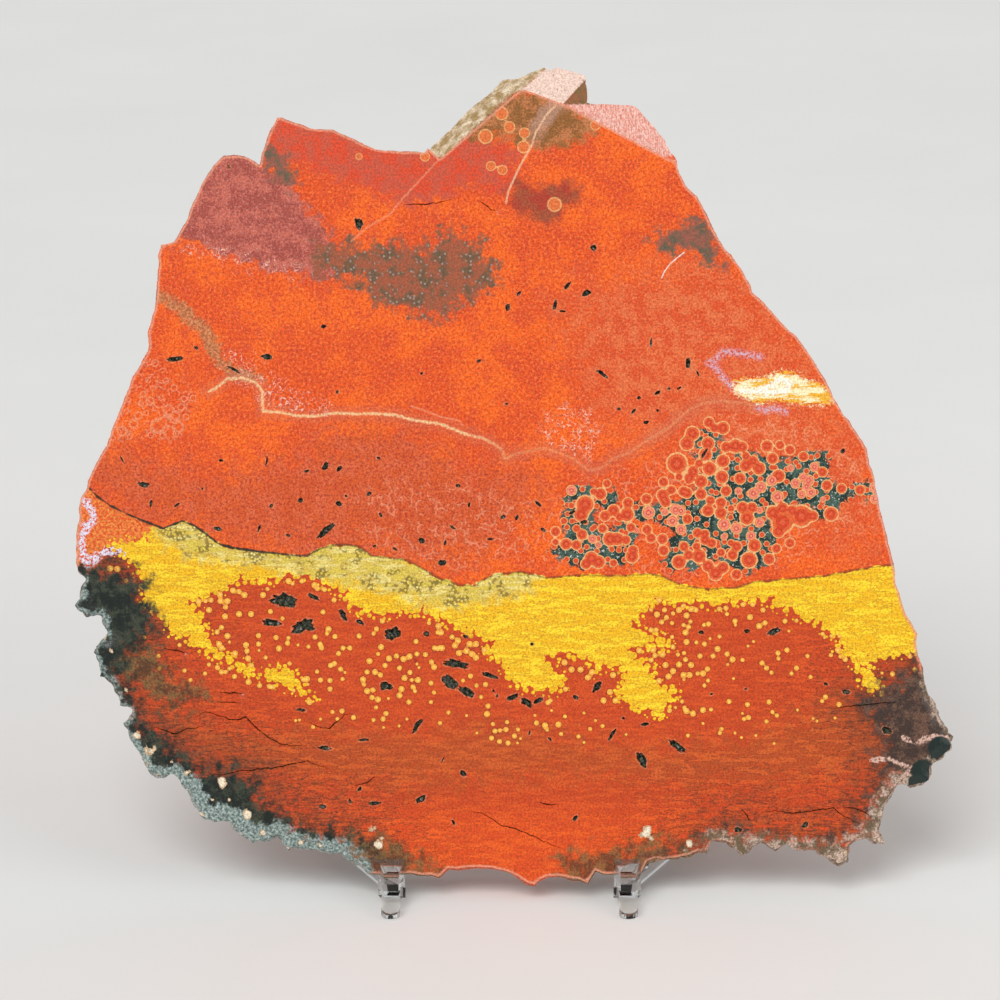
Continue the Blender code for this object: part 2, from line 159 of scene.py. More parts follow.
PALE_BAND_ZONE = [
    (155, 528), (182, 515), (205, 528), (230, 540), (290, 548), (318, 542), (350, 538), (400, 552),
    (440, 572), (470, 582), (487, 574), (500, 568), (535, 566), (540, 584), (515, 596), (490, 600),
    (455, 607), (420, 603), (380, 592), (340, 583), (300, 573), (250, 566), (200, 558), (165, 545),
]

# Zones of one colour or pattern, in pixels
LOWER_ZONE = BAND_TOP + [(960, 640), (990, 760), (960, 900), (60, 900), (40, 600), (60, 470)]
MAUVE_ZONE = [
    (150, 240), (173, 241), (198, 242), (205, 251), (223, 253), (240, 261), (259, 268.5), (280, 276),
    (299, 274), (330, 282), (348, 268), (340, 245), (328, 232), (318, 219), (309, 209), (297, 194),
    (293, 180), (270, 173), (262, 158), (240, 135), (190, 145), (150, 225),
]
PINK_TOP_ZONE = [
    (250, 175), (262, 100), (345, 110), (430, 130), (470, 130), (500, 142), (520, 152), (515, 180),
    (500, 195), (489, 189), (474, 185), (459, 187), (455, 197), (426, 203), (403, 204.5), (380, 199),
    (359, 183.5), (340, 181.6), (328, 175), (310, 165), (286, 160), (275, 165),
]
CLOUD_ZONE = [
    (318, 240), (345, 243), (375, 246), (400, 244), (430, 246), (440, 232), (455, 232), (475, 240),
    (490, 255), (500, 270), (498, 285), (470, 300), (440, 318), (420, 316), (400, 310), (370, 300),
    (362, 285), (345, 278), (325, 275), (310, 262),
]
RIGHT_CLOUD_ZONE = [
    (652, 240), (672, 228), (692, 219), (707, 220), (720, 236), (710, 251), (728, 268), (711, 264),
    (690, 252), (684, 250), (662, 250),
]
GREY_PATCH_ZONE = [
    (262, 150), (274, 147), (286, 158), (294, 172), (296, 184), (284, 186), (272, 176), (264, 164),
]
OLIVE_ZONE = [
    (468, 124), (505, 92), (523, 88), (556, 100), (577, 108), (600, 122), (592, 136), (577, 141),
    (550, 148), (531, 148), (508, 137), (489, 141), (470, 140),
]
BLOB_ZONE = [
    (520, 178), (537, 187), (562, 181), (583, 189), (577, 202), (564, 208), (560, 222), (547, 226),
    (531, 218), (512, 206), (508, 193),
]
RIGHT_BRICK_ZONE = [
    (560, 300), (600, 290), (690, 250), (735, 270), (800, 340), (850, 420), (880, 480), (860, 560),
    (700, 430), (650, 440), (600, 420), (580, 350),
]
BRICK_ZONE = [
    (80, 480), (100, 450), (125, 448), (170, 468), (215, 478), (255, 470), (300, 452), (340, 430),
    (400, 428), (440, 450), (470, 470), (530, 470), (545, 490), (520, 520), (480, 560), (420, 570),
    (360, 550), (300, 560), (200, 530), (150, 525),
]
BROWN_ZONE = [
    (150, 700), (230, 735), (330, 728), (420, 735), (480, 720), (560, 735), (640, 750), (740, 740),
    (860, 690), (910, 690), (900, 770), (800, 780), (700, 785), (560, 775), (400, 790), (300, 780),
    (200, 760),
]
ORANGE_WEDGE_ZONE = [
    (60, 480), (84, 482), (112, 508), (163, 530), (152, 540), (125, 545), (108, 548), (90, 575),
    (60, 580),
]
POD_ZONE = [
    (735, 381), (748, 379), (760, 378), (774, 374), (785, 371), (796, 374), (806, 380), (818, 383),
    (828, 388), (836, 402), (820, 405), (802, 404), (775, 400), (759, 403), (744, 398), (733, 391),
]
NET_ZONES = [
    [
        (140, 352), (170, 362), (182, 385), (200, 392), (194, 412), (190, 430), (172, 442), (140, 440),
        (110, 446), (112, 420), (124, 392), (138, 372),
    ],
    [
        (360, 500), (400, 480), (470, 486), (520, 500), (560, 496), (600, 470), (640, 470), (690, 440),
        (720, 410), (800, 420), (850, 450), (876, 480), (870, 520), (800, 560), (700, 584), (600, 572),
        (500, 560), (440, 572), (390, 552), (360, 530),
    ],
    [(540, 425), (556, 407), (580, 404), (598, 420), (602, 440), (590, 456), (560, 456), (545, 445)],
]
FRILL_ZONES = [
    [
        (226, 350), (246, 352), (262, 366), (276, 372), (294, 384), (300, 394), (328, 396), (332, 412),
        (296, 413), (262, 408), (252, 388), (234, 376), (222, 364),
    ],
    [(546, 424), (558, 407), (580, 404), (597, 418), (600, 438), (588, 455), (562, 455), (547, 444)],
    [(176, 240), (205, 246), (240, 254), (280, 268), (300, 266), (300, 278), (240, 266), (200, 256)],
]
CLUSTER_ZONES = [
    [
        (696, 430), (704, 424), (716, 424), (722, 436), (720, 452), (730, 455), (745, 448), (760, 452),
        (775, 460), (795, 458), (818, 448), (826, 452), (828, 466), (836, 484), (850, 488), (862, 480),
        (872, 478), (876, 492), (866, 500), (852, 494), (842, 502), (830, 518), (822, 520), (810, 508),
        (790, 504), (772, 510), (772, 528), (778, 540), (772, 560), (758, 572), (740, 572), (722, 562),
        (705, 558), (694, 572), (680, 570), (670, 572), (662, 562), (668, 550), (672, 530), (656, 520),
        (640, 524), (630, 510), (642, 500), (655, 505), (668, 498), (680, 500), (694, 488), (700, 470),
        (692, 455),
    ],
    [
        (574, 488), (582, 482), (592, 484), (600, 496), (614, 488), (622, 492), (612, 508), (596, 508),
        (590, 520), (600, 530), (616, 530), (622, 520), (636, 524), (640, 540), (628, 552), (640, 560),
        (632, 566), (606, 564), (588, 568), (572, 566), (556, 556), (546, 552), (560, 544), (566, 530),
        (560, 516), (566, 500),
    ],
]

# The rind along the lower edge, in pixels
LEFT_RIND_ZONE = [
    (50, 572), (94, 572), (117, 577), (140, 585), (138, 598), (144, 610), (150, 623), (142, 637),
    (122, 655), (118, 668), (122, 690), (135, 715), (138, 728), (167, 744), (190, 767), (205, 774),
    (232, 776), (251, 786), (250, 799), (263, 809), (286, 824), (314, 836), (345, 842), (352, 850),
    (362, 860), (372, 900), (40, 900),
]
RIGHT_RIND_ZONE = [
    (920, 672), (901, 683), (884, 693), (866, 704), (880, 716), (883, 730), (891, 746), (884, 760),
    (893, 768), (891, 778), (884, 791), (876, 801), (870, 816), (866, 832), (853, 843), (822, 845),
    (790, 845), (760, 840), (725, 838), (704, 848), (700, 900), (990, 900), (990, 660),
]
OLIVE_RIND_ZONE = [
    (628, 870), (634, 842), (648, 838), (663, 838), (672, 850), (691, 845), (712, 850), (712, 900),
    (628, 900),
]
OLIVE_STREAK_ZONE = [
    (100, 650), (142, 640), (160, 655), (168, 678), (190, 682), (212, 690), (205, 702), (175, 706),
    (150, 696), (128, 680), (105, 672),
]
FOOT_RIND_ZONES = [
    [(330, 838), (350, 836), (372, 838), (398, 842), (416, 856), (432, 862), (446, 884), (330, 884)],
    [(560, 858), (580, 852), (606, 852), (632, 846), (640, 884), (560, 884)],
]

# Bare fracture faces at the peak, in pixels
LEFT_BEVEL_ZONE = [
    (404, 160), (424, 140), (466, 100), (496, 76), (541, 50), (553, 60), (523, 89), (508, 96), (444, 157),
]
QUAD_ZONE = [(521, 91), (552, 60), (590, 72), (562, 105)]
BROWN_FACET_ZONE = [(562, 105), (588, 72), (594, 103), (574, 104)]
PINK_FACET_ZONE = [
    (558, 100), (596, 98), (636, 98), (646, 104), (678, 152), (664, 158), (600, 126), (574, 109),
]

# Thin veins and strands, in pixels
CREAM_VEIN = [
    (209, 391.7), (219, 386), (226.5, 379), (242, 378), (255, 382), (262, 390), (263, 411.7),
    (278, 411.7), (295, 415.6), (314.5, 416.5), (335, 413), (350, 413.8), (382, 413.8), (396, 415),
    (407, 418.6), (422, 421.5), (438, 423.4), (453, 429), (468, 435), (484, 438.7), (495, 444.5),
    (503, 451), (505, 458.8), (516, 454), (530, 451), (545, 448), (560, 453), (574, 459), (588, 470),
    (602, 468), (612, 459), (629, 453), (642, 443.5), (658, 434), (671, 426), (679, 418.6), (690, 409),
    (704, 403), (721, 401.4), (740, 402.4), (752, 405),
]
UPPER_BRANCH = [(411, 406), (426, 411), (440, 416.7), (459, 420.5), (463, 426)]
HEALED_VEIN = [(443, 155), (397.4, 204.5), (390, 214), (367, 227.5), (351.5, 241)]
PEAK_VEIN = [(557, 104), (546.6, 114.6), (536, 132), (531, 147), (520, 166), (508.4, 191), (506, 203)]
TAN_STREAK = [
    (150, 292), (168, 300), (183, 312), (200, 327), (212, 345), (219, 360), (232, 374), (256, 377),
]
LEFT_LILAC = [(79, 499), (89, 506), (94, 518), (87, 528), (81, 539), (83, 550), (87, 565)]
LOWER_LILAC = [(87, 566), (96, 556), (108, 551.5), (129, 552.5)]
UPPER_LILAC = [
    (761, 357), (740, 353), (723, 351.5), (716, 360), (708, 363), (716, 368), (723, 378), (736, 390),
]
RIGHT_LILAC = [(757, 407), (766, 411), (775, 408), (786, 412)]
POD_CORE = [
    (742, 391), (752, 392), (764, 389), (773, 384), (782, 379), (790, 384), (786, 391), (766, 393),
]
WHITE_THREAD = [(661.6, 278), (664, 272), (670, 264), (677, 258), (684.5, 252)]
PINK_SEAMS = [
    [(902.8, 736.9), (914, 744), (924, 739), (930, 737), (954, 737)],
    [
        (872, 760.5), (887.5, 758), (899, 764), (912, 766), (905, 776), (899, 780), (901, 790.5),
        (922, 789),
    ],
]

# Open cracks, in pixels
CRACKS = [
    [(153.7, 726.5), (174.8, 734), (186.3, 729.3), (203.5, 726.5)],
    [
        (192, 718.8), (205.4, 711), (234, 720.7), (245.6, 717), (263, 734), (276, 742), (288, 745.6),
        (309, 745.6),
    ],
    [(209, 774.3), (224.5, 774.3), (243.7, 770.5), (270.5, 768.5), (307, 761), (332, 770.5)],
    [(163, 648), (188, 653.7)],
    [(307, 722.6), (328, 729.3), (345, 715), (356, 713)],
    [(217, 692), (245.6, 694)],
    [(217, 701.6), (240, 702.5)],
    [(351.7, 786.7), (367, 783), (376.5, 775)],
    [(466.5, 809.7), (483.7, 813.5), (501, 825), (520, 830.7), (537, 838.4), (552.6, 845), (564, 849)],
    [(537, 803), (560, 805)],
    [
        (757.4, 813.4), (776.5, 810.5), (795.7, 813.4), (815, 810.5), (834, 807.7), (838, 812.5),
        (853, 821), (861, 824),
    ],
    [(841.6, 806.7), (857, 809), (868.4, 814.4), (873, 819)],
    [(740, 806.7), (747, 815.3), (750.7, 824)],
    [(832, 709), (853, 706), (878, 703.4), (901, 702.4)],
    [(403, 203.8), (420, 205), (440, 202.5), (455, 198)],
    [(476, 199), (485, 204.5), (491, 210), (499, 212)],
]

# Vugs and pits: centre in pixels, length and width in pixels, turn in degrees, depth in millimetres
PITS = [
    ((284, 601), 24, 16, -10, 1.3), ((271, 623), 18, 8, -8, 0.9), ((303, 626), 24, 14, 10, 1.2),
    ((314, 597), 13, 5, -25, 0.7), ((343, 615), 13, 7, -60, 0.9), ((360, 622), 9, 4, -30, 0.7),
    ((392, 634), 16, 13, 20, 1.3), ((426, 634), 7, 5, 0, 0.6), ((465.5, 636.5), 7, 4, -10, 0.5),
    ((455, 664), 25, 8, -8, 1.1), ((450, 682), 17, 10, -35, 1.1), ((466, 692), 18, 8, -30, 1.0),
    ((488.5, 675), 17, 5, -20, 0.9), ((386, 686), 14, 9, 0, 1.0), ((512, 697), 13, 5, 25, 0.9),
    ((527, 703), 14, 7, -25, 1.0), ((538, 701), 9, 5, 30, 0.8), ((417, 725.5), 20, 5, 58, 0.9),
    ((324, 748), 14, 4, -4, 0.7), ((363, 740), 12, 3, 0, 0.4), ((442.5, 760), 6, 2, 60, 0.4),
    ((462.6, 772.7), 8, 5, -40, 0.6), ((421.5, 798.6), 12, 6, 35, 0.8), ((360, 789), 6, 4, 40, 0.6),
    ((350, 801.4), 6, 4, -70, 0.6), ((374.6, 803.4), 13, 3.5, 5, 0.6), ((323, 806.4), 7, 5, 0, 0.6),
    ((453, 822), 6, 3, -60, 0.5), ((575.5, 818), 8, 4, 60, 0.7), ((597.5, 686), 15, 6, 58, 1.0),
    ((576, 697.4), 7, 4, -35, 0.6), ((549.7, 739), 5, 3, -50, 0.5), ((529.6, 733), 5, 2.5, 80, 0.5),
    ((497, 696), 4, 3, 70, 0.4), ((493.6, 691), 3, 3, 0, 0.4), ((301, 710), 10, 3, -10, 0.5),
    ((531.5, 644), 4, 4, 0, 0.5), ((623.4, 718.4), 4, 3, 0, 0.5), ((612, 735), 16, 4, 62, 0.8),
    ((645.4, 724), 10, 4, 5, 0.7), ((641.6, 760), 17, 8, -70, 1.1), ((677, 745.6), 24, 7, -38, 1.1),
    ((701, 632.7), 7, 4, 0, 0.6), ((747, 631), 6, 6, 0, 0.7), ((773.6, 631.7), 14, 6, 25, 0.9),
    ((738, 830), 8, 6, -10, 0.7), ((711.4, 694), 4, 3, 30, 0.4), ((746, 689), 4, 2, -10, 0.4),
    ((826, 684), 5, 3, -20, 0.5), ((846, 692), 7, 5, -10, 0.5), ((805, 825), 9, 5, 35, 0.7),
    ((887, 731), 10, 8, -30, 0.9), ((174.8, 359), 17, 5, 8, 0.8), ((267.6, 357), 12, 6, -5, 0.8),
    ((234, 369.7), 15, 3, -28, 0.5), ((144, 484.5), 13, 5, -10, 0.7), ((151, 503.6), 7, 3, 80, 0.5),
    ((176.7, 505), 8, 3, 38, 0.6), ((122, 459.6), 9, 2, -60, 0.4), ((217, 528.5), 9, 4, -15, 0.6),
    ((259, 528.5), 9, 3, 75, 0.5), ((288.6, 535.5), 6, 3, -20, 0.4), ((325, 531.3), 23, 6, 42, 1.0),
    ((300.5, 500.3), 7, 6, 0, 0.7), ((339, 503.6), 7, 5, -45, 0.7), ((325.6, 465.3), 9, 6, 60, 0.8),
    ((339.5, 469), 6, 4, 50, 0.6), ((307, 471), 8, 2.5, 12, 0.4), ((266.6, 461.5), 13, 2, 80, 0.4),
    ((221, 460.5), 4, 3.5, 0, 0.5), ((271.4, 505.5), 4, 4, 0, 0.5), ((202.5, 488.7), 4, 2.5, 60, 0.4),
    ((195.8, 347.7), 5, 3, -40, 0.5), ((346, 496), 4, 3, 0, 0.4), ((369, 494), 6, 4, 40, 0.5),
    ((378.4, 458), 5, 3, -40, 0.4), ((457.8, 485.6), 5, 4, -20, 0.5), ((381, 515), 5, 3, -60, 0.4),
    ((421.5, 541), 6, 6, 0, 0.7), ((445.4, 543), 6, 3, 70, 0.5), ((442.5, 563), 8, 6, -10, 0.8),
    ((374.6, 546), 4, 3, 20, 0.4), ((395, 549), 6, 2.5, -30, 0.4), ((453, 527.7), 9, 2.5, -35, 0.4),
    ((469, 504.7), 5, 3, 70, 0.5), ((502.8, 517), 5, 4, 40, 0.5), ((517, 518), 6, 3.5, 70, 0.5),
    ((538, 503.8), 9, 3, -40, 0.5), ((543, 529.6), 7, 3.5, -35, 0.5), ((571.7, 512.4), 8, 3, 30, 0.5),
    ((584, 522), 8, 4, 10, 0.6), ((490.4, 539), 8, 2.5, 0, 0.4), ((323, 326.8), 7, 4, 10, 0.6),
    ((337.3, 391.8), 5, 3, 70, 0.4), ((421.5, 373.7), 4, 2.5, 40, 0.4), ((507.6, 307.7), 7, 5, 60, 0.7),
    ((555, 305), 11, 4, 80, 0.6), ((563, 311), 8, 3, -10, 0.5), ((479, 361), 5, 4, 0, 0.4),
    ((602.3, 373.7), 15, 4, -35, 0.7), ((688, 364), 12, 6, 80, 0.8), ((651, 342), 10, 2.5, 88, 0.4),
    ((698, 373.7), 8, 2.5, -65, 0.4), ((656.8, 392.8), 8, 4, 32, 0.6), ((669, 389), 4, 3, 0, 0.4),
    ((679, 388.4), 6, 3, 32, 0.5), ((639, 398), 4, 3.5, 0, 0.5), ((633.8, 411), 7, 3, 48, 0.5),
    ((657.8, 410.6), 4, 3.5, 40, 0.4), ((646.3, 422), 6, 4, 10, 0.6), ((618.5, 409), 4, 3, 0, 0.4),
    ((359, 223.7), 13, 8, -70, 1.0), ((593.5, 247.6), 8, 6, 80, 0.7), ((567.7, 285), 10, 4, 50, 0.6),
    ((586.8, 293.5), 9, 7, 30, 0.8), ((519, 293.5), 7, 4, 40, 0.5), ((228.4, 166), 6, 2.5, -60, 0.3),
    ((506.4, 404), 4, 3, 0, 0.4), ((704.5, 453), 12, 4, 60, 0.5), ((843, 451), 5, 5, 0, 0.6),
]

# Orbs with their rings: centre and radius in pixels
RED_ORBS = [
    (708, 443.5, 7), (705.5, 454.5, 7), (723, 461, 7), (709.5, 468.5, 7.5), (693.5, 472, 5.8),
    (701, 481.5, 7), (722, 477, 7), (726, 491, 5.8), (740, 478.5, 6.2), (746, 465.5, 7), (753, 461, 5.8),
    (759, 468.5, 7), (772.5, 458.5, 6.2), (778.5, 476, 7), (822.5, 472, 5.4), (827, 485.5, 5.8),
    (841.5, 488.5, 5.4), (860, 490, 5.4), (831, 514, 7.6), (803.5, 456.5, 5.4), (790, 450, 5.4),
    (780, 445, 5), (767, 446, 6.5), (735.5, 446, 7.6), (726, 447, 5.8), (742.5, 447, 5.8),
    (746, 456, 4.6), (723, 428, 7), (709, 422.5, 5.8), (714.5, 428, 5), (692.5, 433.5, 7.6),
    (687, 443.5, 7.6), (676.5, 464.5, 9.5), (664, 481.5, 4.6), (671.5, 490, 5), (664, 499, 5.8),
    (679, 477, 4.2), (699, 463.5, 4.6), (688.5, 480.5, 4.2), (687, 493, 5.8), (701, 494, 6.2),
    (710.5, 500.5, 5), (708, 510.5, 6.5), (721, 513, 6.5), (721, 502.5, 5.8), (731, 508.5, 3.8),
    (742.5, 507.5, 6.5), (752, 507.5, 5.8), (747, 518, 7.6), (754.5, 545.5, 7), (736.5, 546.5, 5.8),
    (731, 543, 3.8), (732.5, 555, 5.8), (749, 560, 8.6), (721, 552.5, 4.6), (711.5, 543, 5.4),
    (705, 540, 5.4), (697.5, 533, 5.4), (705, 534, 5), (687.5, 519, 5.4), (684, 546.5, 5.4),
    (679, 562, 7.6), (696.5, 546.5, 4.6), (699, 556, 7.6), (688.5, 555, 5.4), (708, 566, 6.5),
    (723, 567.5, 6.5), (715.5, 573.5, 7.6), (736.5, 574.5, 5.8), (769, 559, 6.2), (790, 543, 5.4),
    (776.5, 548.5, 5), (773, 513, 7.6), (782.5, 508.5, 6.7), (792, 510.5, 5.8), (801.5, 516, 11.5),
    (813, 516, 5.8), (782.5, 522, 11.5), (778.5, 531.5, 6.7), (663.5, 482, 5.4), (689.5, 478, 5.8),
    (683.5, 491.5, 5.8), (662.5, 495, 6.5), (665.5, 502, 5.8), (677, 463.5, 11), (693, 471, 5.8),
    (585, 504.5, 9.5), (581, 514.5, 7.6), (593.5, 491.5, 3.8), (600.5, 494, 6.5), (607, 483.5, 4.6),
    (605, 516, 5.8), (613.5, 510.5, 6.5), (602.5, 528.5, 5), (627, 514.5, 7.6), (619.5, 517, 4.6),
    (631, 527.5, 5), (628, 503, 5.8), (647, 529.5, 5.4), (651, 538, 5.4), (646.5, 499, 5.8),
    (662.5, 539, 5.8), (663.5, 550.5, 5.8), (610, 539, 7.6), (617.5, 539, 7), (626, 540, 5),
    (633, 550.5, 5.8), (632, 556.5, 7), (591.5, 558.5, 7.6), (598.5, 562, 7), (586, 564, 5.8),
    (613.5, 563, 4.2), (576.5, 545, 5.4), (566, 544, 6.2), (576.5, 528.5, 4.2), (582, 534.5, 5.8),
    (555.5, 531.5, 5.4), (555.5, 542, 3.8), (564, 521, 3.8), (571.5, 505.5, 3.4),
]
PINK_ORBS = [
    (772, 480.5, 5.8), (761, 487, 5.8), (753.5, 493.5, 5.8), (777.5, 497, 6.5), (790.5, 468, 3.8),
    (795.5, 483.5, 5), (803, 477, 4.2), (808.5, 480.5, 5.8), (806.5, 486.5, 4.6), (811, 492.5, 5),
    (801.5, 494.5, 4.2), (814.5, 467, 5), (874.5, 487.5, 5.4), (875, 499, 5), (823, 499.5, 3),
    (738.5, 491, 3.8), (724, 524.5, 6.5), (736.5, 528.5, 5.8), (724, 537, 3.4), (751, 536, 5),
    (759.5, 522.5, 5), (681, 529.5, 5.4), (672.5, 521, 5.8), (675.5, 509.5, 5.8), (681, 511, 4.8),
    (665, 512, 3.8), (759.5, 510.5, 3.4), (571.5, 490.5, 5.4), (648.5, 512.5, 6.5), (636.5, 530.5, 3),
    (592.5, 539, 4.6), (598.5, 545, 3.4),
]
PEAK_ORBS = [
    (501.5, 113.5, 6.7), (509.5, 127, 5.7), (524.5, 133, 5.4), (485.5, 136.5, 7.3), (523.5, 147, 6.3),
    (595.5, 125, 5.3), (491, 166, 5), (502.5, 170, 5), (425, 156.5, 5), (359, 156.5, 3.5),
    (554.5, 204.5, 7.3),
]
LEFT_RINGS = [
    (155, 363, 3.5), (143, 394.5, 3), (150, 401, 4), (168.5, 410, 5), (175.5, 415.5, 4.2),
    (138.5, 415.5, 3.8), (133.5, 424, 4.2), (126.5, 411, 2.3), (157.5, 426, 6.7), (165, 421.5, 5.4),
    (178, 427, 5.4), (122, 431, 4.8), (166, 381, 3), (174, 388, 3.2), (184, 399, 3), (193, 398, 3),
    (181, 407, 3.4), (186, 417, 3), (176, 434, 3), (163, 436, 3), (151, 435, 3), (148, 380, 2.6),
    (141, 404, 2.6), (146, 413, 2.6), (130, 436, 2.6), (113, 438, 2.6), (161, 398, 2.6), (129, 400, 2.2),
    (153, 388, 2.4), (171, 424, 2.6),
]

# Cream nodules and round dark lobes of the rind: centre and radius in pixels
NODULES = [
    (150, 749.5, 5.5), (187, 772.5, 3.5), (221.5, 782, 4), (157.5, 778, 3), (201.5, 816.5, 3.5),
    (247.5, 814.5, 4), (287.5, 849, 3.5), (104, 636.5, 3), (111.5, 651, 2.5), (118, 701, 3),
    (122, 707, 2.4), (126, 690, 2.2), (645.5, 831.5, 5), (651, 838, 3.4), (689.5, 843, 3),
    (376.5, 845, 4.5), (373.5, 828, 3.4), (381, 838, 2.6), (229, 800, 2.4), (263, 833, 2.8),
    (171, 762, 2.4), (136, 735, 2.6), (146, 764, 2.8), (212, 800, 2.2), (300, 843, 2.6), (320, 846, 2.4),
    (846, 853, 3), (868, 846, 2.6),
]
DARK_LOBES = [(940, 748, 13), (923, 771, 13), (946, 758, 10), (915, 782, 8)]

# Small yellow spots: radius in pixels, then their centres
SPOTS = {
    3.2: [
        (110, 568.5), (117.5, 569), (244.5, 595), (263, 595), (288.5, 581), (314.5, 585), (209, 610),
        (198.5, 601.5), (227.5, 601), (220, 594.5), (220.5, 601), (233, 590.5), (239, 614), (251, 614),
        (225, 616.5), (227.5, 636), (219, 644), (221.5, 648), (246, 645), (279, 648.5), (235, 653.5),
        (248, 658.5), (328.5, 629), (307, 679), (248.5, 682), (309.5, 702), (381, 647), (389, 658.5),
        (403.5, 659), (409.5, 656.5), (438.5, 626), (441, 632.5), (442, 648), (458, 640.5), (455, 645.5),
        (459, 653), (466.5, 651), (469.5, 644), (476, 644), (472, 654), (476, 657.5), (484.5, 650),
        (369.5, 661), (375, 672), (404.5, 678), (418, 680), (363, 679.5), (367, 691), (378, 699.5),
        (401.5, 689), (399.5, 695.5), (434, 667), (487, 714), (545, 725.5), (558.5, 724.5),
        (571.5, 669.5), (580.5, 669.5), (588, 677.5), (592, 672), (564.5, 662.5), (613, 675), (610, 692),
        (603.5, 700.5), (615.5, 700.5), (639.5, 650.5), (653, 650), (662.5, 654.5), (665.5, 665),
        (668.5, 676.5), (673, 671), (679, 664.5), (683.5, 675), (689.5, 675), (703, 673.5), (691, 665),
        (717.5, 649), (732.5, 659.5), (685.5, 632.5), (686.5, 642), (659, 600), (657, 614.5), (679, 610),
        (691.5, 609), (686.5, 615.5), (750, 617), (759, 626), (659, 681), (686.5, 711), (693, 713.5),
        (703, 710), (838, 650),
    ],
    2.7: [
        (302, 581), (317.5, 588.5), (324.5, 589.5), (334, 600), (323, 612), (270.5, 611.5), (211, 600),
        (225.5, 607), (239, 591.5), (221.5, 627.5), (217, 632), (247, 651), (258.5, 635.5), (258.5, 644),
        (276, 637.5), (287.5, 643), (251.5, 665.5), (315, 637), (335, 636.5), (320, 644), (321.5, 648),
        (343, 648), (350, 648), (338.5, 653.5), (334.5, 663.5), (330.5, 665.5), (340.5, 669),
        (320.5, 680), (330, 680.5), (330, 689), (303.5, 679.5), (217.5, 667.5), (221.5, 672),
        (234.5, 676.5), (259.5, 685.5), (269.5, 686.5), (273, 687), (342, 711), (353.5, 717.5),
        (133, 616), (376.5, 629), (382.5, 621), (359, 636), (396.5, 656), (417, 654), (425.5, 654.5),
        (416, 641.5), (434.5, 648), (438, 648.5), (452, 637), (385, 665.5), (399.5, 668), (367, 672),
        (380.5, 675), (410, 672.5), (373, 690), (372, 697.5), (409, 702), (413, 687), (431, 683),
        (431.5, 662), (386, 713.5), (383, 719), (470.5, 676), (485.5, 684.5), (488, 706), (506, 729.5),
        (495, 731), (514.5, 736), (491.5, 738), (499.5, 741.5), (508, 743), (536.5, 723), (548, 702.5),
        (565.5, 689), (655, 655.5), (651, 660), (673, 647), (707.5, 669), (685.5, 659.5), (700, 656),
        (704.5, 644), (713, 656), (727, 654), (688.5, 627), (656, 630), (651, 630), (664.5, 610),
        (661.5, 622), (666.5, 617.5), (683.5, 606), (696, 610), (708.5, 624), (763, 610), (752.5, 604.5),
        (743, 604.5), (735, 621), (765, 623), (785, 621), (719.5, 609), (726, 608), (787, 650),
        (778, 653), (762, 663), (766.5, 668), (669.5, 710.5), (729, 701.5), (747.5, 704.5), (769, 702),
        (748.5, 717.5), (845.5, 659.5), (796.5, 668), (825.5, 697), (839, 704.5), (892.5, 674),
        (915, 669.5), (910, 656),
    ],
    2.2: [
        (126, 580.5), (144, 637.5), (267.5, 589), (292.5, 583.5), (282.5, 618.5), (205.5, 601),
        (288.5, 638), (265.5, 657.5), (308.5, 646.5), (327, 633.5), (317, 671.5), (289.5, 663.5),
        (342.5, 679), (209, 664.5), (225.5, 672), (205, 673.5), (229.5, 668.5), (184.5, 670.5),
        (190.5, 680), (293.5, 690.5), (332.5, 712), (337.5, 719), (313, 727), (179.5, 645), (158.5, 656),
        (159.5, 668.5), (373.5, 633.5), (378, 654), (429, 623), (437.5, 632.5), (411.5, 680),
        (364, 684.5), (415, 691), (434, 692.5), (431, 702), (376, 707.5), (373.5, 720), (448.5, 712.5),
        (440, 723), (463, 680.5), (476.5, 685.5), (481, 697), (493, 724), (507, 722), (518, 729.5),
        (500, 730.5), (547, 729.5), (561, 734), (578.5, 736.5), (590, 729), (565, 716.5), (550.5, 700.5),
        (697.5, 673.5), (678, 654.5), (684, 653), (696.5, 642.5), (742.5, 660), (719.5, 636.5),
        (672, 637), (690.5, 621.5), (683.5, 625), (672, 623), (673, 613.5), (651, 609.5), (704, 625),
        (796.5, 620.5), (727, 614), (778.5, 658.5), (771.5, 672.5), (791.5, 673.5), (708, 680.5),
        (704.5, 685.5), (682, 701.5), (684.5, 707.5), (711, 709.5), (772.5, 712), (777, 715.5),
        (744, 719), (766.5, 721.5), (721.5, 729), (720, 733), (688, 735.5), (602.5, 726), (822.5, 634),
        (831.5, 636), (839.5, 636), (840.5, 656.5), (831, 655), (807.5, 656), (810.5, 677), (822, 701),
    ],
    1.6: [
        (229.5, 642), (259, 650.5), (298, 645), (345, 672.5), (308, 684.5), (320.5, 719), (295.5, 720.5),
        (299.5, 720), (388.5, 698.5), (417, 664), (419, 667.5), (383.5, 727.5), (407, 719), (399, 726),
        (466.5, 715.5), (520.5, 738.5), (517.5, 743), (477, 733), (584, 713), (595.5, 720.5),
        (551.5, 710.5), (535, 715.5), (584, 742.5), (710, 638.5), (665, 634), (735.5, 625), (789, 631),
        (753.5, 641.5), (748, 646), (727.5, 664.5), (733.5, 678.5), (684, 679.5), (675.5, 707.5),
        (742.5, 713.5), (703, 723.5), (735, 733), (741.5, 737.5), (756, 735.5), (626, 734.5),
        (774, 743.5), (824.5, 637.5), (817, 721), (813, 718.5), (835, 718), (797.5, 710), (882, 673),
    ],
}


def clear_scene():
    """Remove every object of the start-up scene."""
    for thing in list(bpy.data.objects):
        bpy.data.objects.remove(thing, do_unlink=True)


def linked(name, data):
    """Return a new object of the scene."""
    thing = bpy.data.objects.new(name, data)
    bpy.context.scene.collection.objects.link(thing)
    return thing


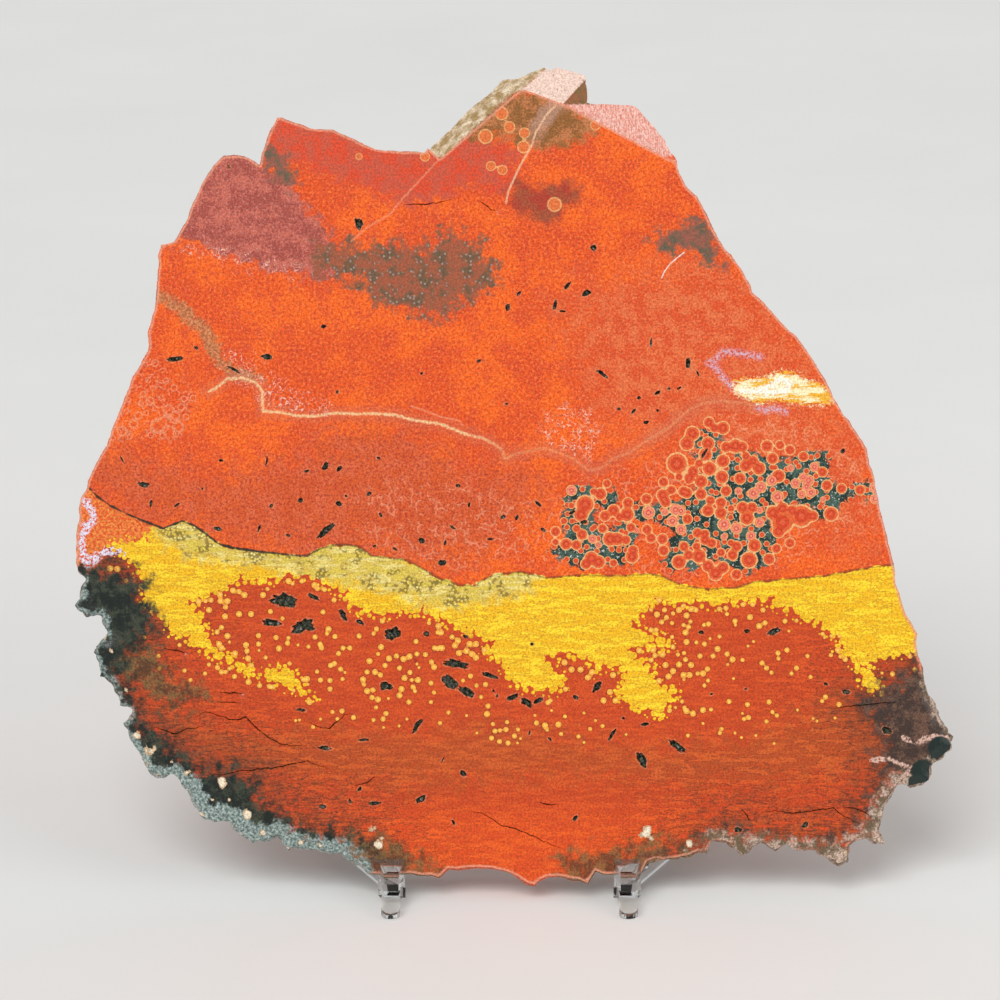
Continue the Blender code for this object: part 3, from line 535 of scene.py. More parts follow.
def on_face(pixels):
    """Turn pixels into places on the slab's face in millimetres, as an array."""
    pixels = np.asarray(pixels, float)
    right = (pixels[..., 0] - MIDDLE_PIXEL) * PIXEL
    up = (REST_PIXEL - pixels[..., 1]) * PIXEL
    return np.stack([right, up], axis=-1)


def slab_seat(node):
    """Return the matrix from the slab's own frame to the world, up to the CAD slab's leaning face."""
    outward = Vector((0, -math.cos(LEAN), math.sin(LEAN)))
    reach = max(outward.dot(vert.co) for vert in node.data.vertices)
    front = (REST_HEIGHT * math.sin(LEAN) - reach) / math.cos(LEAN)
    return Matrix.Translation((0, front, REST_HEIGHT)) @ Matrix.Rotation(math.pi / 2 - LEAN, 4, "X")


def is_flat(face):
    """Whether a face lies in the slab's front plane or in its back plane."""
    heights = [vert.co.z for vert in face.verts]
    return min(heights) > -FLAT_SLACK or max(heights) < FLAT_SLACK - THICKNESS


def biggest_island(bm):
    """Delete every island of faces but the one with most faces."""
    islands = []
    unseen = set(bm.faces)
    while unseen:
        island = {unseen.pop()}
        waiting = list(island)
        while waiting:
            for edge in waiting.pop().edges:
                for face in edge.link_faces:
                    if face in unseen:
                        unseen.remove(face)
                        island.add(face)
                        waiting.append(face)
        islands.append(island)
    islands.sort(key=len)
    spare = [face for island in islands[:-1] for face in island]
    bmesh.ops.delete(bm, geom=spare, context="FACES")


def split_face(face, cuts, places):
    """Return a triangle's parts. cuts has the middle of each edge that is split, or else None."""
    count = sum(cut is not None for cut in cuts)
    if count == 0:
        return [face]
    if count == 3:
        (a, b, c), (ab, bc, ca) = face, cuts
        return [(a, ab, ca), (ab, b, bc), (ca, bc, c), (ab, bc, ca)]
    turn = [cut is None for cut in cuts].index(count == 2)
    a, b, c = face[turn:] + face[:turn]
    first, second, third = cuts[turn:] + cuts[:turn]
    if count == 1:
        return [(a, first, c), (first, b, c)]
    if (places[a] - places[second]).length < (places[b] - places[third]).length:
        return [(third, second, c), (a, b, second), (a, second, third)]
    return [(third, second, c), (a, b, third), (b, second, third)]


def refine(places, faces, longest):
    """Split the triangles' edges until none is too long. Adds to places and returns the triangles."""
    while True:
        middles, finer = {}, []
        for face in faces:
            cuts = []
            for edge in zip(face, face[1:] + face[:1]):
                key = tuple(sorted(edge))
                if key not in middles and (places[key[0]] - places[key[1]]).length > longest:
                    middles[key] = len(places)
                    places.append((places[key[0]] + places[key[1]]) / 2)
                cuts.append(middles.get(key))
            finer += split_face(face, tuple(cuts), places)
        faces = finer
        if not middles:
            return faces


def slab_rim(node, seat):
    """Return the CAD slab's sides and fracture facets as a fine mesh in the slab's own frame."""
    bm = bmesh.new()
    bm.from_mesh(node.data)
    bmesh.ops.transform(bm, matrix=Matrix.Scale(1 / MM, 4) @ seat.inverted(), verts=bm.verts)
    bmesh.ops.remove_doubles(bm, verts=bm.verts, dist=WELD)
    bmesh.ops.delete(bm, geom=[face for face in bm.faces if is_flat(face)], context="FACES")
    biggest_island(bm)
    bmesh.ops.triangulate(bm, faces=bm.faces)
    bm.verts.index_update()
    places = [vert.co.copy() for vert in bm.verts]
    faces = refine(places, [tuple(vert.index for vert in face.verts) for face in bm.faces], RIM_STEP)
    bm.clear()
    verts = [bm.verts.new(place) for place in places]
    for face in faces:
        bm.faces.new([verts[index] for index in face])
    return bm


def line_distance(points, line, closed):
    """Return the distance of each point to a line through some places."""
    starts = line if closed else line[:-1]
    ends = np.roll(line, -1, axis=0) if closed else line[1:]
    best = np.full(len(points), np.inf)
    for start, end in zip(starts, ends):
        run = end - start
        share = np.clip((points - start) @ run / (run @ run), 0, 1)
        away = points - start - share[:, None] * run
        best = np.minimum(best, np.hypot(away[:, 0], away[:, 1]))
    return best


def nearest_distance(points, places):
    """Return the distance of each point to the nearest of many close places."""
    tree = kdtree.KDTree(len(places))
    for index, place in enumerate(places):
        tree.insert((*place, 0), index)
    tree.balance()
    return np.array([tree.find((*point, 0))[2] for point in points])


def is_inside(points, outline):
    """Tell for each point whether it is inside a closed outline."""
    x, y = points.T
    odd = np.zeros(len(points), bool)
    for (x1, y1), (x2, y2) in zip(outline, np.roll(outline, -1, axis=0)):
        if y1 == y2:
            continue
        crosses = (y1 > y) != (y2 > y)
        odd ^= crosses & (x < x1 + (y - y1) * (x2 - x1) / (y2 - y1))
    return odd


def zone_depth(points, outline):
    """Return how deep each point lies in a closed zone, negative outside it, in millimetres."""
    away = line_distance(points, outline, True)
    return np.where(is_inside(points, outline), away, -away)


def rind_share(points):
    """Return how much of each point belongs to the lumpy rind, from 0 to 1."""
    rinds = (LEFT_RIND_ZONE, RIGHT_RIND_ZONE, OLIVE_RIND_ZONE)
    depth = np.max([zone_depth(points, on_face(zone)) for zone in rinds], axis=0)
    return np.clip(depth / 2 + 0.5, 0, 1)


def rim_noise(spot, lumpiness):
    """Return how far a place on the broken rim is pushed in, in millimetres."""
    hackly = 0.5 + 0.5 * noise.fractal(spot * HACKLE_SCALE, 0.9, 2.1, 4)
    cells, _ = noise.voronoi(spot * KNOB_SCALE + Vector((3, 1, 7)))
    knobs = min(1.0, cells[0] * 1.25) ** 1.6
    lumps = KNOB_DEPTH * knobs + 0.15 * hackly
    return (1 - lumpiness) * HACKLE_DEPTH * hackly + lumpiness * lumps


def roughen_rim(bm):
    """Push the rim's places in by noise: hackly where it is broken, in rounded knobs where it is rind."""
    bm.normal_update()
    verts = bm.verts[:]
    points = np.array([(vert.co.x, vert.co.y) for vert in verts])
    moves = []
    for vert, lumpy in zip(verts, rind_share(points)):
        direction = vert.normal.copy()
        share = 0.3 if direction.z > 0.5 else 1.0
        if vert.is_boundary:
            direction.z = 0
            direction.normalize()
            share = 0.55
        moves.append(-direction * share * rim_noise(vert.co, lumpy))
    for vert, move in zip(verts, moves):
        vert.co += move


def ordered_loop(bm, level):
    """Return the rim's boundary vertices near a height, in order round the slab."""
    start = next(vert for vert in bm.verts if vert.is_boundary and abs(vert.co.z - level) < 0.1)
    loop, last = [start], None
    while True:
        here = loop[-1]
        ways = [edge.other_vert(here) for edge in here.link_edges if edge.is_boundary]
        after = next(vert for vert in ways if vert is not last)
        if after is start:
            return loop
        last = here
        loop.append(after)


class Sheet:
    """Gathers the places, heights and kept edges of a flat face before it is filled with triangles."""

    def __init__(self, rim_places, rim_heights):
        self.places = [tuple(place) for place in rim_places]
        self.heights = list(rim_heights)
        count = len(self.places)
        self.edges = [(index, (index + 1) % count) for index in range(count)]
        self.outline = np.array(self.places)
        self.holes = []

    def add(self, places, heights, closed=None):
        """Add places. If closed is given, the edges between them are kept, and go round if it is true."""
        first = len(self.places)
        self.places += [tuple(place) for place in places]
        self.heights += list(heights)
        last = len(self.places) - 1
        if closed is not None:
            self.edges += [(index, index + 1) for index in range(first, last)]
        if closed:
            self.edges.append((last, first))

    def clear_places(self, places, gap):
        """Return the places that are clear of the outline, the pits and everything added so far."""
        places = places[zone_depth(places, self.outline) > CLEAR_OF_EDGE]
        for hole in self.holes:
            places = places[~is_inside(places, hole)]
        return places[nearest_distance(places, self.places) > gap]

    def add_marks(self, places, gap):
        """Add the loose places that are clear of all others and of each other."""
        places = self.clear_places(places, gap)
        _, first = np.unique(np.round(places / gap), axis=0, return_index=True)
        places = places[np.sort(first)]
        self.add(places, np.zeros(len(places)))

    def add_grid(self, step, rng):
        """Fill the rest of the face with an uneven triangular grid."""
        low, high = self.outline.min(axis=0), self.outline.max(axis=0)
        rows = int((high[1] - low[1]) / (step * ROW_STEP)) + 1
        columns = int((high[0] - low[0]) / step) + 2
        grid = [
            (
                low[0] + (column + 0.5 * (row % 2) + rng.uniform(-0.2, 0.2)) * step,
                low[1] + (row + rng.uniform(-0.2, 0.2)) * step * ROW_STEP,
            )
            for row in range(rows)
            for column in range(columns)
        ]
        grid = self.clear_places(np.array(grid), CLEAR_OF_FEATURE)
        self.add(grid, np.zeros(len(grid)))

    def fill(self, bm, loop, level, material):
        """Fill the face with triangles between the rim's loop of vertices."""
        flat = [Vector(place) for place in self.places]
        places, _, faces, origins, _, _ = delaunay_2d_cdt(flat, self.edges, [], 1, 1e-5)
        verts = []
        for place, sources in zip(places, origins):
            first = min(sources, default=-1)
            if 0 <= first < len(loop):
                verts.append(loop[first])
            else:
                height = self.heights[first] if sources else 0.0
                verts.append(bm.verts.new((*place, level + height)))
        for face in faces:
            bm.faces.new([verts[index] for index in face]).material_index = material


def pit_ring(pit, rng):
    """Return a pit's uneven outline about its centre, in millimetres."""
    _, length, width, turn, _ = pit
    half = np.array([length, width]) * PIXEL / 2
    count = int(max(8, (length + width) * PIXEL * 1.6 / 0.4))
    angles = np.arange(count) * 2 * math.pi / count
    wobble = np.array([rng.uniform(0.6, 1.35) for _ in range(count)])
    wobble = (2 * wobble + np.roll(wobble, 1)) / 3
    ring = np.stack([np.cos(angles), np.sin(angles)], axis=1) * half * wobble[:, None]
    c, s = math.cos(math.radians(turn)), math.sin(math.radians(turn))
    return ring @ np.array([[c, s], [-s, c]])


def add_pit(sheet, pit, direction, rng):
    """Add one pit: a sharp edge, a steep wall and an uneven floor."""
    centre, depth = on_face(pit[0]), pit[4] * direction
    ring = pit_ring(pit, rng)
    count = len(ring)
    sheet.add(centre + ring, np.zeros(count), closed=True)
    sheet.add(centre + ring * 0.8, [depth * rng.uniform(0.5, 0.7) for _ in range(count)], closed=True)
    sheet.add(centre + ring[::2] * 0.4, [depth * rng.uniform(0.8, 1.1) for _ in ring[::2]])
    sheet.add([centre], [depth])
    sheet.holes.append(centre + ring)


def resampled(line, step):
    """Return places along a line in even steps."""
    line = np.asarray(line)
    runs = np.hypot(*np.diff(line, axis=0).T)
    along = np.concatenate([[0], np.cumsum(runs)])
    spots = np.linspace(0, along[-1], max(3, int(along[-1] / step)))
    return np.stack([np.interp(spots, along, line[:, 0]), np.interp(spots, along, line[:, 1])], axis=1)


def sideways(spine, length):
    """Return a step of some length to the left of a line at each of its places."""
    tangents = np.gradient(spine, axis=0)
    across = np.stack([-tangents[:, 1], tangents[:, 0]], axis=1)
    return across * (length / np.hypot(*across.T))[:, None]


def add_crack(sheet, crack, rng):
    """Add one crack: a narrow groove that closes at both ends."""
    spine = resampled(on_face(crack), CRACK_STEP)
    jitter = np.array([[rng.uniform(-0.1, 0.1), rng.uniform(-0.14, 0.14)] for _ in spine])
    spine[1:-1] += jitter[1:-1]
    swell = np.sin(np.linspace(0, math.pi, len(spine))) ** 0.5
    width = np.array([rng.uniform(0.09, 0.2) for _ in spine]) * swell
    sheet.add(spine, -CRACK_DEPTH * swell, closed=False)
    across = sideways(spine, width)
    for side in (-1, 1):
        edge = (spine + side * across)[1:-1]
        sheet.add(edge, np.zeros(len(edge)), closed=False)


def zone_table():
    """Return the name and outlines of each zone that the shader reads."""
    return {
        "lower": [LOWER_ZONE],
        "band": [BAND_ZONE],
        "pale_band": [PALE_BAND_ZONE],
        "mauve": [MAUVE_ZONE],
        "pink_top": [PINK_TOP_ZONE],
        "cloud": [CLOUD_ZONE],
        "right_cloud": [RIGHT_CLOUD_ZONE, GREY_PATCH_ZONE],
        "olive": [OLIVE_ZONE],
        "blob": [BLOB_ZONE],
        "right_brick": [RIGHT_BRICK_ZONE],
        "brick": [BRICK_ZONE],
        "brown": [BROWN_ZONE],
        "wedge": [ORANGE_WEDGE_ZONE],
        "rind": [LEFT_RIND_ZONE, RIGHT_RIND_ZONE],
        "olive_rind": [OLIVE_RIND_ZONE, OLIVE_STREAK_ZONE, *FOOT_RIND_ZONES],
        "pod": [POD_ZONE],
        "cluster": CLUSTER_ZONES,
        "net": NET_ZONES,
        "frill": FRILL_ZONES,
        "bevel": [LEFT_BEVEL_ZONE],
        "quad": [QUAD_ZONE],
        "brown_facet": [BROWN_FACET_ZONE],
        "pink_facet": [PINK_FACET_ZONE],
    }


def line_table():
    """Return the name and lines of each vein that the shader reads."""
    return {
        "boundary": [BAND_TOP],
        "vein": [CREAM_VEIN],
        "branch": [UPPER_BRANCH, HEALED_VEIN],
        "peak_vein": [PEAK_VEIN],
        "tan": [TAN_STREAK],
        "frost": [LEFT_LILAC, LOWER_LILAC],
        "lilac": [UPPER_LILAC, RIGHT_LILAC],
        "core": [POD_CORE],
        "thread": [WHITE_THREAD],
        "seam": PINK_SEAMS,
    }


def spots_in_mm(spots):
    """Return the centres and radii of spots in millimetres."""
    spots = np.array(spots)
    return on_face(spots[:, :2]), spots[:, 2] * PIXEL


def spot_ratio(points, spots):
    """Return each point's distance to its nearest spot, as a share of that spot's radius."""
    best = np.full(len(points), np.inf)
    for centre, radius in zip(*spots_in_mm(spots)):
        best = np.minimum(best, np.hypot(*(points - centre).T) / radius)
    return best


def spot_rings(spots, shares, count, rng):
    """Return the spots' centres and places on rings round them that no other spot covers more deeply."""
    centres, radii = spots_in_mm(spots)
    steps = np.arange(count) * 2 * math.pi / count
    kept = [centres]
    for share in shares:
        angles = np.array([rng.uniform(0, math.pi) for _ in centres])[:, None] + steps
        rings = np.stack([np.cos(angles), np.sin(angles)], axis=2) * radii[:, None, None] * share
        rings = (rings + centres[:, None]).reshape(-1, 2)
        kept.append(rings[spot_ratio(rings, spots) > share - 0.03])
    return np.concatenate(kept)


def line_marks(line, step, side):
    """Return places along a thin line and, half a step on, at both sides of it."""
    spine = resampled(on_face(line), step)
    across = sideways(spine, side)
    return np.concatenate([spine, (spine + across)[::2], (spine - across)[::2]])


def all_spots():
    """Return every yellow spot as centre and radius in pixels."""
    return [(*place, radius) for radius, places in SPOTS.items() for place in places]


def front_sheet(loop, rng):
    """Return the polished front with its pits, cracks, orbs, spots and veins marked in its mesh."""
    sheet = Sheet([vert.co.xy for vert in loop], [0.0] * len(loop))
    for pit in PITS:
        add_pit(sheet, pit, -1, rng)
    for crack in CRACKS:
        add_crack(sheet, crack, rng)
    for line in [line for lines in line_table().values() for line in lines]:
        sheet.add_marks(line_marks(line, VEIN_STEP, VEIN_SIDE), VEIN_GAP)
    sheet.add_marks(spot_rings(RED_ORBS + PINK_ORBS, (1.0, 0.8, 0.45, 1.2), 14, rng), SPOT_GAP)
    sheet.add_marks(spot_rings(PEAK_ORBS + LEFT_RINGS, (1.0, 0.7, 1.3), 12, rng), SPOT_GAP)
    sheet.add_marks(spot_rings(NODULES, (1.0, 0.5), 10, rng), SPOT_GAP)
    sheet.add_marks(spot_rings(all_spots(), (1.0, 1.35), 8, rng), SPOT_GAP)
    for zone in [zone for zones in zone_table().values() for zone in zones]:
        sheet.add_marks(resampled(on_face(zone + zone[:1]), ZONE_STEP), ZONE_GAP)
    sheet.add_grid(FACE_STEP, rng)
    return sheet


def back_sheet(loop, rng):
    """Return the polished back with some pits of its own."""
    sheet = Sheet([vert.co.xy for vert in loop], [0.0] * len(loop))
    low, high = sheet.outline.min(axis=0), sheet.outline.max(axis=0)
    centres = []
    while len(centres) < BACK_PITS:
        spot = np.array([[rng.uniform(low[0], high[0]), rng.uniform(low[1], high[1])]])
        far = all(math.dist(spot[0], other) > BACK_PIT_GAP for other in centres)
        if far and zone_depth(spot, sheet.outline)[0] > BACK_PIT_MARGIN:
            centres.append(tuple(spot[0]))
    for x, y in centres:
        place = (x / PIXEL + MIDDLE_PIXEL, REST_PIXEL - y / PIXEL)
        length = rng.uniform(5, 17)
        width = length * rng.uniform(0.35, 0.7)
        turn = rng.uniform(-60, 60)
        depth = rng.uniform(0.4, 1.0)
        add_pit(sheet, (place, length, width, turn, depth), 1, rng)
    sheet.add_grid(BACK_STEP, rng)
    return sheet


def roll_off(bm, outline):
    """Let both faces roll off towards the rind's lumpy edge."""
    spots = np.array([(vert.co.x, vert.co.y) for vert in bm.verts])
    lumpiness = rind_share(spots)
    rind = np.flatnonzero(lumpiness)
    edge = np.maximum(0, zone_depth(spots[rind], outline))
    verts = bm.verts[:]
    for index, near in zip(rind, edge):
        place = verts[index].co
        cells, _ = noise.voronoi(Vector((place.x, place.y, 0)) * 0.45)
        drop = lumpiness[index] * max(0, 1 - near / ROLL_WIDTH) ** 2 * (0.25 + 1.1 * min(1, cells[0]))
        place.z -= drop * max(0, 1 + place.z / ROLL_HEIGHT)
        place.z += drop * max(0, 1 - (place.z + THICKNESS) / ROLL_HEIGHT)


def build_slab(node, seat):
    """Return the slab's piece: the CAD slab's rim made rough and its two faces made fine."""
    rng = random.Random(SEED)
    bm = slab_rim(node, seat)
    roughen_rim(bm)
    for face in bm.faces:
        face.material_index = 1
    front, back = ordered_loop(bm, 0), ordered_loop(bm, -THICKNESS)
    outline = np.array([tuple(vert.co.xy) for vert in front])
    sheet = front_sheet(front, rng)
    sheet.fill(bm, front, 0, 0)
    back_sheet(back, rng).fill(bm, back, -THICKNESS, 2)
    bmesh.ops.holes_fill(bm, edges=[edge for edge in bm.edges if edge.is_boundary], sides=8)
    roll_off(bm, outline)
    bmesh.ops.recalc_face_normals(bm, faces=bm.faces)
    mesh = bpy.data.meshes.new("polished_slab")
    bm.to_mesh(mesh)
    bm.free()
    add_attributes(mesh, outline, sheet.holes)
    mesh.transform(seat @ Matrix.Scale(MM, 4))
    mesh.shade_smooth()
    mesh.set_sharp_from_angle(angle=SHARP_ANGLE)
    return linked("polished_slab", mesh)


def add_attributes(mesh, outline, holes):
    """Give each vertex its depth in every zone and its nearness to every vein, orb and spot."""
    points = np.array([(vert.co.x, vert.co.y) for vert in mesh.vertices])
    values = {
        "rim": nearest_distance(points, outline),
        "orb": spot_ratio(points, RED_ORBS + PINK_ORBS),
        "pink": spot_ratio(points, PINK_ORBS),
        "peak_orb": spot_ratio(points, PEAK_ORBS),
        "ring": spot_ratio(points, LEFT_RINGS),
        "spot": spot_ratio(points, all_spots()),
        "nodule": spot_ratio(points, NODULES),
        "lobe": spot_ratio(points, DARK_LOBES),
        "pit": nearest_distance(points, np.concatenate([resampled(hole, 0.12) for hole in holes])),
    }
    for name, outlines in zone_table().items():
        values[name] = np.max([zone_depth(points, on_face(zone)) for zone in outlines], axis=0)
    for name, lines in line_table().items():
        values[name] = np.min([line_distance(points, on_face(line), False) for line in lines], axis=0)
    for name, numbers in values.items():
        attribute = mesh.attributes.new(name, "FLOAT", "POINT")
        attribute.data.foreach_set("value", numbers.astype(np.float32))
    attribute = mesh.attributes.new("place", "FLOAT_VECTOR", "POINT")
    attribute.data.foreach_set("vector", [number for vert in mesh.vertices for number in vert.co])


def paint(red, green, blue):
    """Turn a colour as a screen shows it into the linear colour that a shader takes."""
    linear = [((value / 255 + 0.055) / 1.055) ** 2.4 for value in (red, green, blue)]
    return (*linear, 1.0)


class Shader:
    """A material in the making: each method adds one node and returns what comes out of it."""

    def __init__(self, name):
        self.material = bpy.data.materials.new(name)
        self.material.use_nodes = True
        tree = self.material.node_tree
        self.nodes, self.links = tree.nodes, tree.links
        self.surface = self.nodes["Principled BSDF"]

    def feed(self, socket, value):
        """Link a node's output to a socket, or set the socket to a plain value."""
        if isinstance(value, bpy.types.NodeSocket):
            self.links.new(value, socket)
        else:
            socket.default_value = value

    def set(self, name, value):
        """Set or link one of the surface's own sockets."""
        self.feed(self.surface.inputs[name], value)

    def math(self, operation, *values):
        """Return the result of one sum with numbers or sockets."""
        node = self.nodes.new("ShaderNodeMath")
        node.operation = operation
        for socket, value in zip(node.inputs, values):
            self.feed(socket, value)
        return node.outputs[0]

    def place(self):
        """Return the place on the object in millimetres."""
        return self.stretched(self.nodes.new("ShaderNodeTexCoord").outputs["Object"], [1 / MM] * 3)

    def slab_place(self):
        """Return the place in the slab's own frame in millimetres."""
        node = self.nodes.new("ShaderNodeAttribute")
        node.attribute_name = "place"
        return node.outputs["Vector"]

    def stretched(self, place, shares):
        """Return a place with each of its numbers multiplied."""
        node = self.nodes.new("ShaderNodeVectorMath")
        node.operation = "MULTIPLY"
        self.links.new(place, node.inputs[0])
        node.inputs[1].default_value = shares
        return node.outputs[0]

    def attribute(self, name):
        """Return one of the numbers that each vertex of the slab has."""
        node = self.nodes.new("ShaderNodeAttribute")
        node.attribute_name = name
        return node.outputs["Fac"]

    def noise(self, place, scale, detail=4, roughness=0.6, flat=False):
        """Return cloud noise from 0 to 1, with its scale per millimetre. Flat noise ignores Z."""
        node = self.nodes.new("ShaderNodeTexNoise")
        node.noise_dimensions = "2D" if flat else "3D"
        self.links.new(place, node.inputs["Vector"])
        node.inputs["Scale"].default_value = scale
        node.inputs["Detail"].default_value = detail
        node.inputs["Roughness"].default_value = roughness
        return node.outputs["Fac"]

    def cells(self, place, scale, flat=False):
        """Return the distance in a cell pattern to the nearest point."""
        node = self.nodes.new("ShaderNodeTexVoronoi")
        node.voronoi_dimensions = "2D" if flat else "3D"
        self.links.new(place, node.inputs["Vector"])
        node.inputs["Scale"].default_value = scale
        return node.outputs["Distance"]

    def step(self, value, low, high, top=1.0):
        """Return 0 below low, top above high, and a smooth rise between. With low above high it falls."""
        node = self.nodes.new("ShaderNodeMapRange")
        node.interpolation_type = "SMOOTHSTEP"
        self.feed(node.inputs["Value"], value)
        falls = low > high
        node.inputs["From Min"].default_value = min(low, high)
        node.inputs["From Max"].default_value = max(low, high)
        node.inputs["To Min"].default_value = top if falls else 0.0
        node.inputs["To Max"].default_value = 0.0 if falls else top
        return node.outputs["Result"]

    def mix(self, share, first, second, blend="MIX"):
        """Return the first colour with a share of the second over it."""
        node = self.nodes.new("ShaderNodeMix")
        node.data_type = "RGBA"
        node.blend_type = blend
        self.feed(node.inputs[0], share)
        self.feed(node.inputs[6], first)
        self.feed(node.inputs[7], second)
        return node.outputs[2]

    def both(self, first, second):
        """Return the product of two masks."""
        return self.math("MULTIPLY", first, second)

    def zone(self, name, soft, ragged, amount, top=1.0):
        """Return the mask of a zone, up to top. Its border is soft over some millimetres, and frayed."""
        depth = self.math("MULTIPLY_ADD", ragged, amount, self.attribute(name))
        return self.step(depth, -soft, soft, top)

    def line(self, name, width, soft, ragged, amount, top=1.0):
        """Return the mask of a thin line of some half width in millimetres, up to top, and frayed."""
        away = self.math("MULTIPLY_ADD", ragged, amount, self.attribute(name))
        return self.step(away, width + soft, width, top)

    def bump(self, height, strength, distance):
        """Tilt the surface by a height that noise gives."""
        node = self.nodes.new("ShaderNodeBump")
        self.feed(node.inputs["Strength"], strength)
        node.inputs["Distance"].default_value = distance
        self.feed(node.inputs["Height"], height)
        self.links.new(node.outputs["Normal"], self.surface.inputs["Normal"])


def stone_noises(shader, flat):
    """Return the noises that every part of the stone shares. The two that fray borders lie about zero."""
    place = shader.slab_place()
    flowing = shader.stretched(place, (0.3, 1.6, 1))
    ragged = shader.noise(place, 0.42, 3, 0.66, flat)
    fine = shader.noise(place, 1.7, 3, 0.7, flat)
    flow = shader.noise(flowing, 0.55, 3, 0.7, flat)
    split = shader.nodes.new("ShaderNodeSeparateXYZ")
    shader.links.new(place, split.inputs[0])
    return {
        "place": place,
        "x": split.outputs["X"],
        "y": split.outputs["Y"],
        "z": split.outputs["Z"],
        "ragged": shader.math("MULTIPLY_ADD", ragged, 4, -2),
        "fray": shader.math("MULTIPLY_ADD", fine, 4, -2),
        "fine": fine,
        "patch": shader.noise(place, 0.085, 1, 0.6, flat),
        "cloudy": shader.noise(place, 0.3, 4, 0.72, flat),
        "curl": shader.noise(place, 0.9, 1, 0.5, flat),
        "grain": shader.noise(place, 2.4, 2, 0.8, flat),
        "flow": flow,
        "crease": shader.step(shader.math("ABSOLUTE", shader.math("SUBTRACT", flow, 0.5)), 0.028, 0.006),
        "orbs": shader.cells(place, 0.5, flat),
        "beads": shader.cells(place, 0.88, flat),
        "stipple": shader.cells(place, 1.5, flat),
    }


def layered(shader, base, layers):
    """Paint layers of mask and colour over a base colour."""
    for share, colour in layers:
        base = shader.mix(share, base, colour)
    return base


def upper_colour(shader, tex):
    """Colour the orange and red upper part."""
    ragged = tex["ragged"]
    patches = shader.step(tex["patch"], 0.42, 0.6)
    clouds = shader.step(tex["cloudy"], 0.42, 0.62)
    flecks = shader.step(tex["fine"], 0.54, 0.66)
    pearls = shader.both(shader.step(tex["beads"], 0.26, 0.14), shader.step(tex["cloudy"], 0.46, 0.56))
    specks = shader.both(shader.step(tex["stipple"], 0.16, 0.08), shader.step(tex["cloudy"], 0.46, 0.54))
    mauve = shader.mix(clouds, paint(164, 74, 62), paint(194, 98, 80))
    mauve = shader.mix(shader.both(flecks, 0.5), mauve, paint(214, 134, 124))
    cloud = shader.mix(clouds, paint(164, 84, 56), paint(104, 80, 56))
    cloud = shader.mix(shader.both(flecks, 0.55), cloud, paint(124, 96, 56))
    cloud = shader.mix(shader.both(pearls, 0.5), cloud, paint(186, 166, 160))
    right_cloud = shader.mix(clouds, paint(150, 86, 68), paint(98, 86, 66))
    blob = shader.mix(clouds, paint(172, 56, 34), paint(160, 74, 40))
    olive = shader.mix(clouds, paint(142, 90, 38), paint(184, 112, 62))
    brick = shader.mix(clouds, paint(214, 78, 32), paint(224, 108, 58))
    brick = shader.mix(shader.both(flecks, 0.5), brick, paint(232, 138, 92))
    brown = shader.mix(clouds, paint(206, 84, 34), paint(214, 98, 56))
    brown = shader.mix(shader.step(tex["fine"], 0.5, 0.38), brown, paint(178, 62, 34))
    rosy = shader.mix(clouds, paint(200, 82, 56), paint(216, 68, 28))
    tan = shader.mix(shader.step(tex["fine"], 0.4, 0.6), paint(162, 96, 54), paint(206, 138, 90))
    hot = shader.mix(patches, paint(228, 82, 16), paint(246, 100, 10))
    return layered(shader, hot, [
        (shader.step(tex["cloudy"], 0.48, 0.64, 0.55), paint(216, 70, 22)),
        (shader.step(tex["fine"], 0.5, 0.36, 0.6), paint(186, 52, 20)),
        (shader.both(flecks, 0.5), paint(252, 136, 66)),
        (shader.both(specks, 0.7), paint(120, 38, 18)),
        (shader.zone("right_brick", 8, ragged, 5, 0.85), brick),
        (shader.zone("brick", 5, ragged, 5, 0.85), brown),
        (shader.zone("pink_top", 1.4, ragged, 2.4), rosy),
        (shader.zone("mauve", 1.0, ragged, 2.0), mauve),
        (shader.zone("cloud", 1.6, ragged, 3.2), cloud),
        (shader.zone("right_cloud", 1.4, ragged, 2.4), right_cloud),
        (shader.zone("olive", 1.2, ragged, 1.6), olive),
        (shader.zone("blob", 1.4, ragged, 1.4), blob),
        (shader.line("tan", 0.5, 1.4, ragged, 1.0, 0.85), tan),
    ])


def lower_colour(shader, tex):
    """Colour the red-orange lower part, browner in the middle and stained dark towards the rind."""
    streaks = shader.step(tex["flow"], 0.4, 0.62)
    red = shader.mix(streaks, paint(196, 66, 14), paint(212, 78, 18))
    brown = shader.mix(streaks, paint(176, 74, 20), paint(202, 92, 30))
    bright = shader.step(tex["y"], 17, 8)
    stain = shader.math("MULTIPLY_ADD", tex["ragged"], 4, shader.attribute("rind"))
    stain = shader.both(shader.step(stain, -12, 1), shader.step(tex["flow"], 0.3, 0.5))
    near = shader.step(shader.attribute("rind"), -30, -6)
    wedge = shader.mix(shader.step(tex["fine"], 0.4, 0.62), paint(222, 84, 26), paint(240, 146, 64))
    return layered(shader, red, [
        (shader.zone("brown", 4, tex["ragged"], 4, 0.8), brown),
        (shader.both(bright, 0.7), shader.mix(streaks, paint(224, 78, 12), paint(240, 96, 18))),
        (shader.step(tex["fine"], 0.47, 0.36, 0.4), paint(160, 44, 18)),
        (shader.both(stain, 0.9), shader.mix(streaks, paint(96, 50, 24), paint(140, 62, 26))),
        (shader.both(shader.both(tex["crease"], near), 0.75), paint(74, 30, 16)),
        (shader.zone("wedge", 0.6, tex["ragged"], 0.8, 0.9), wedge),
    ])


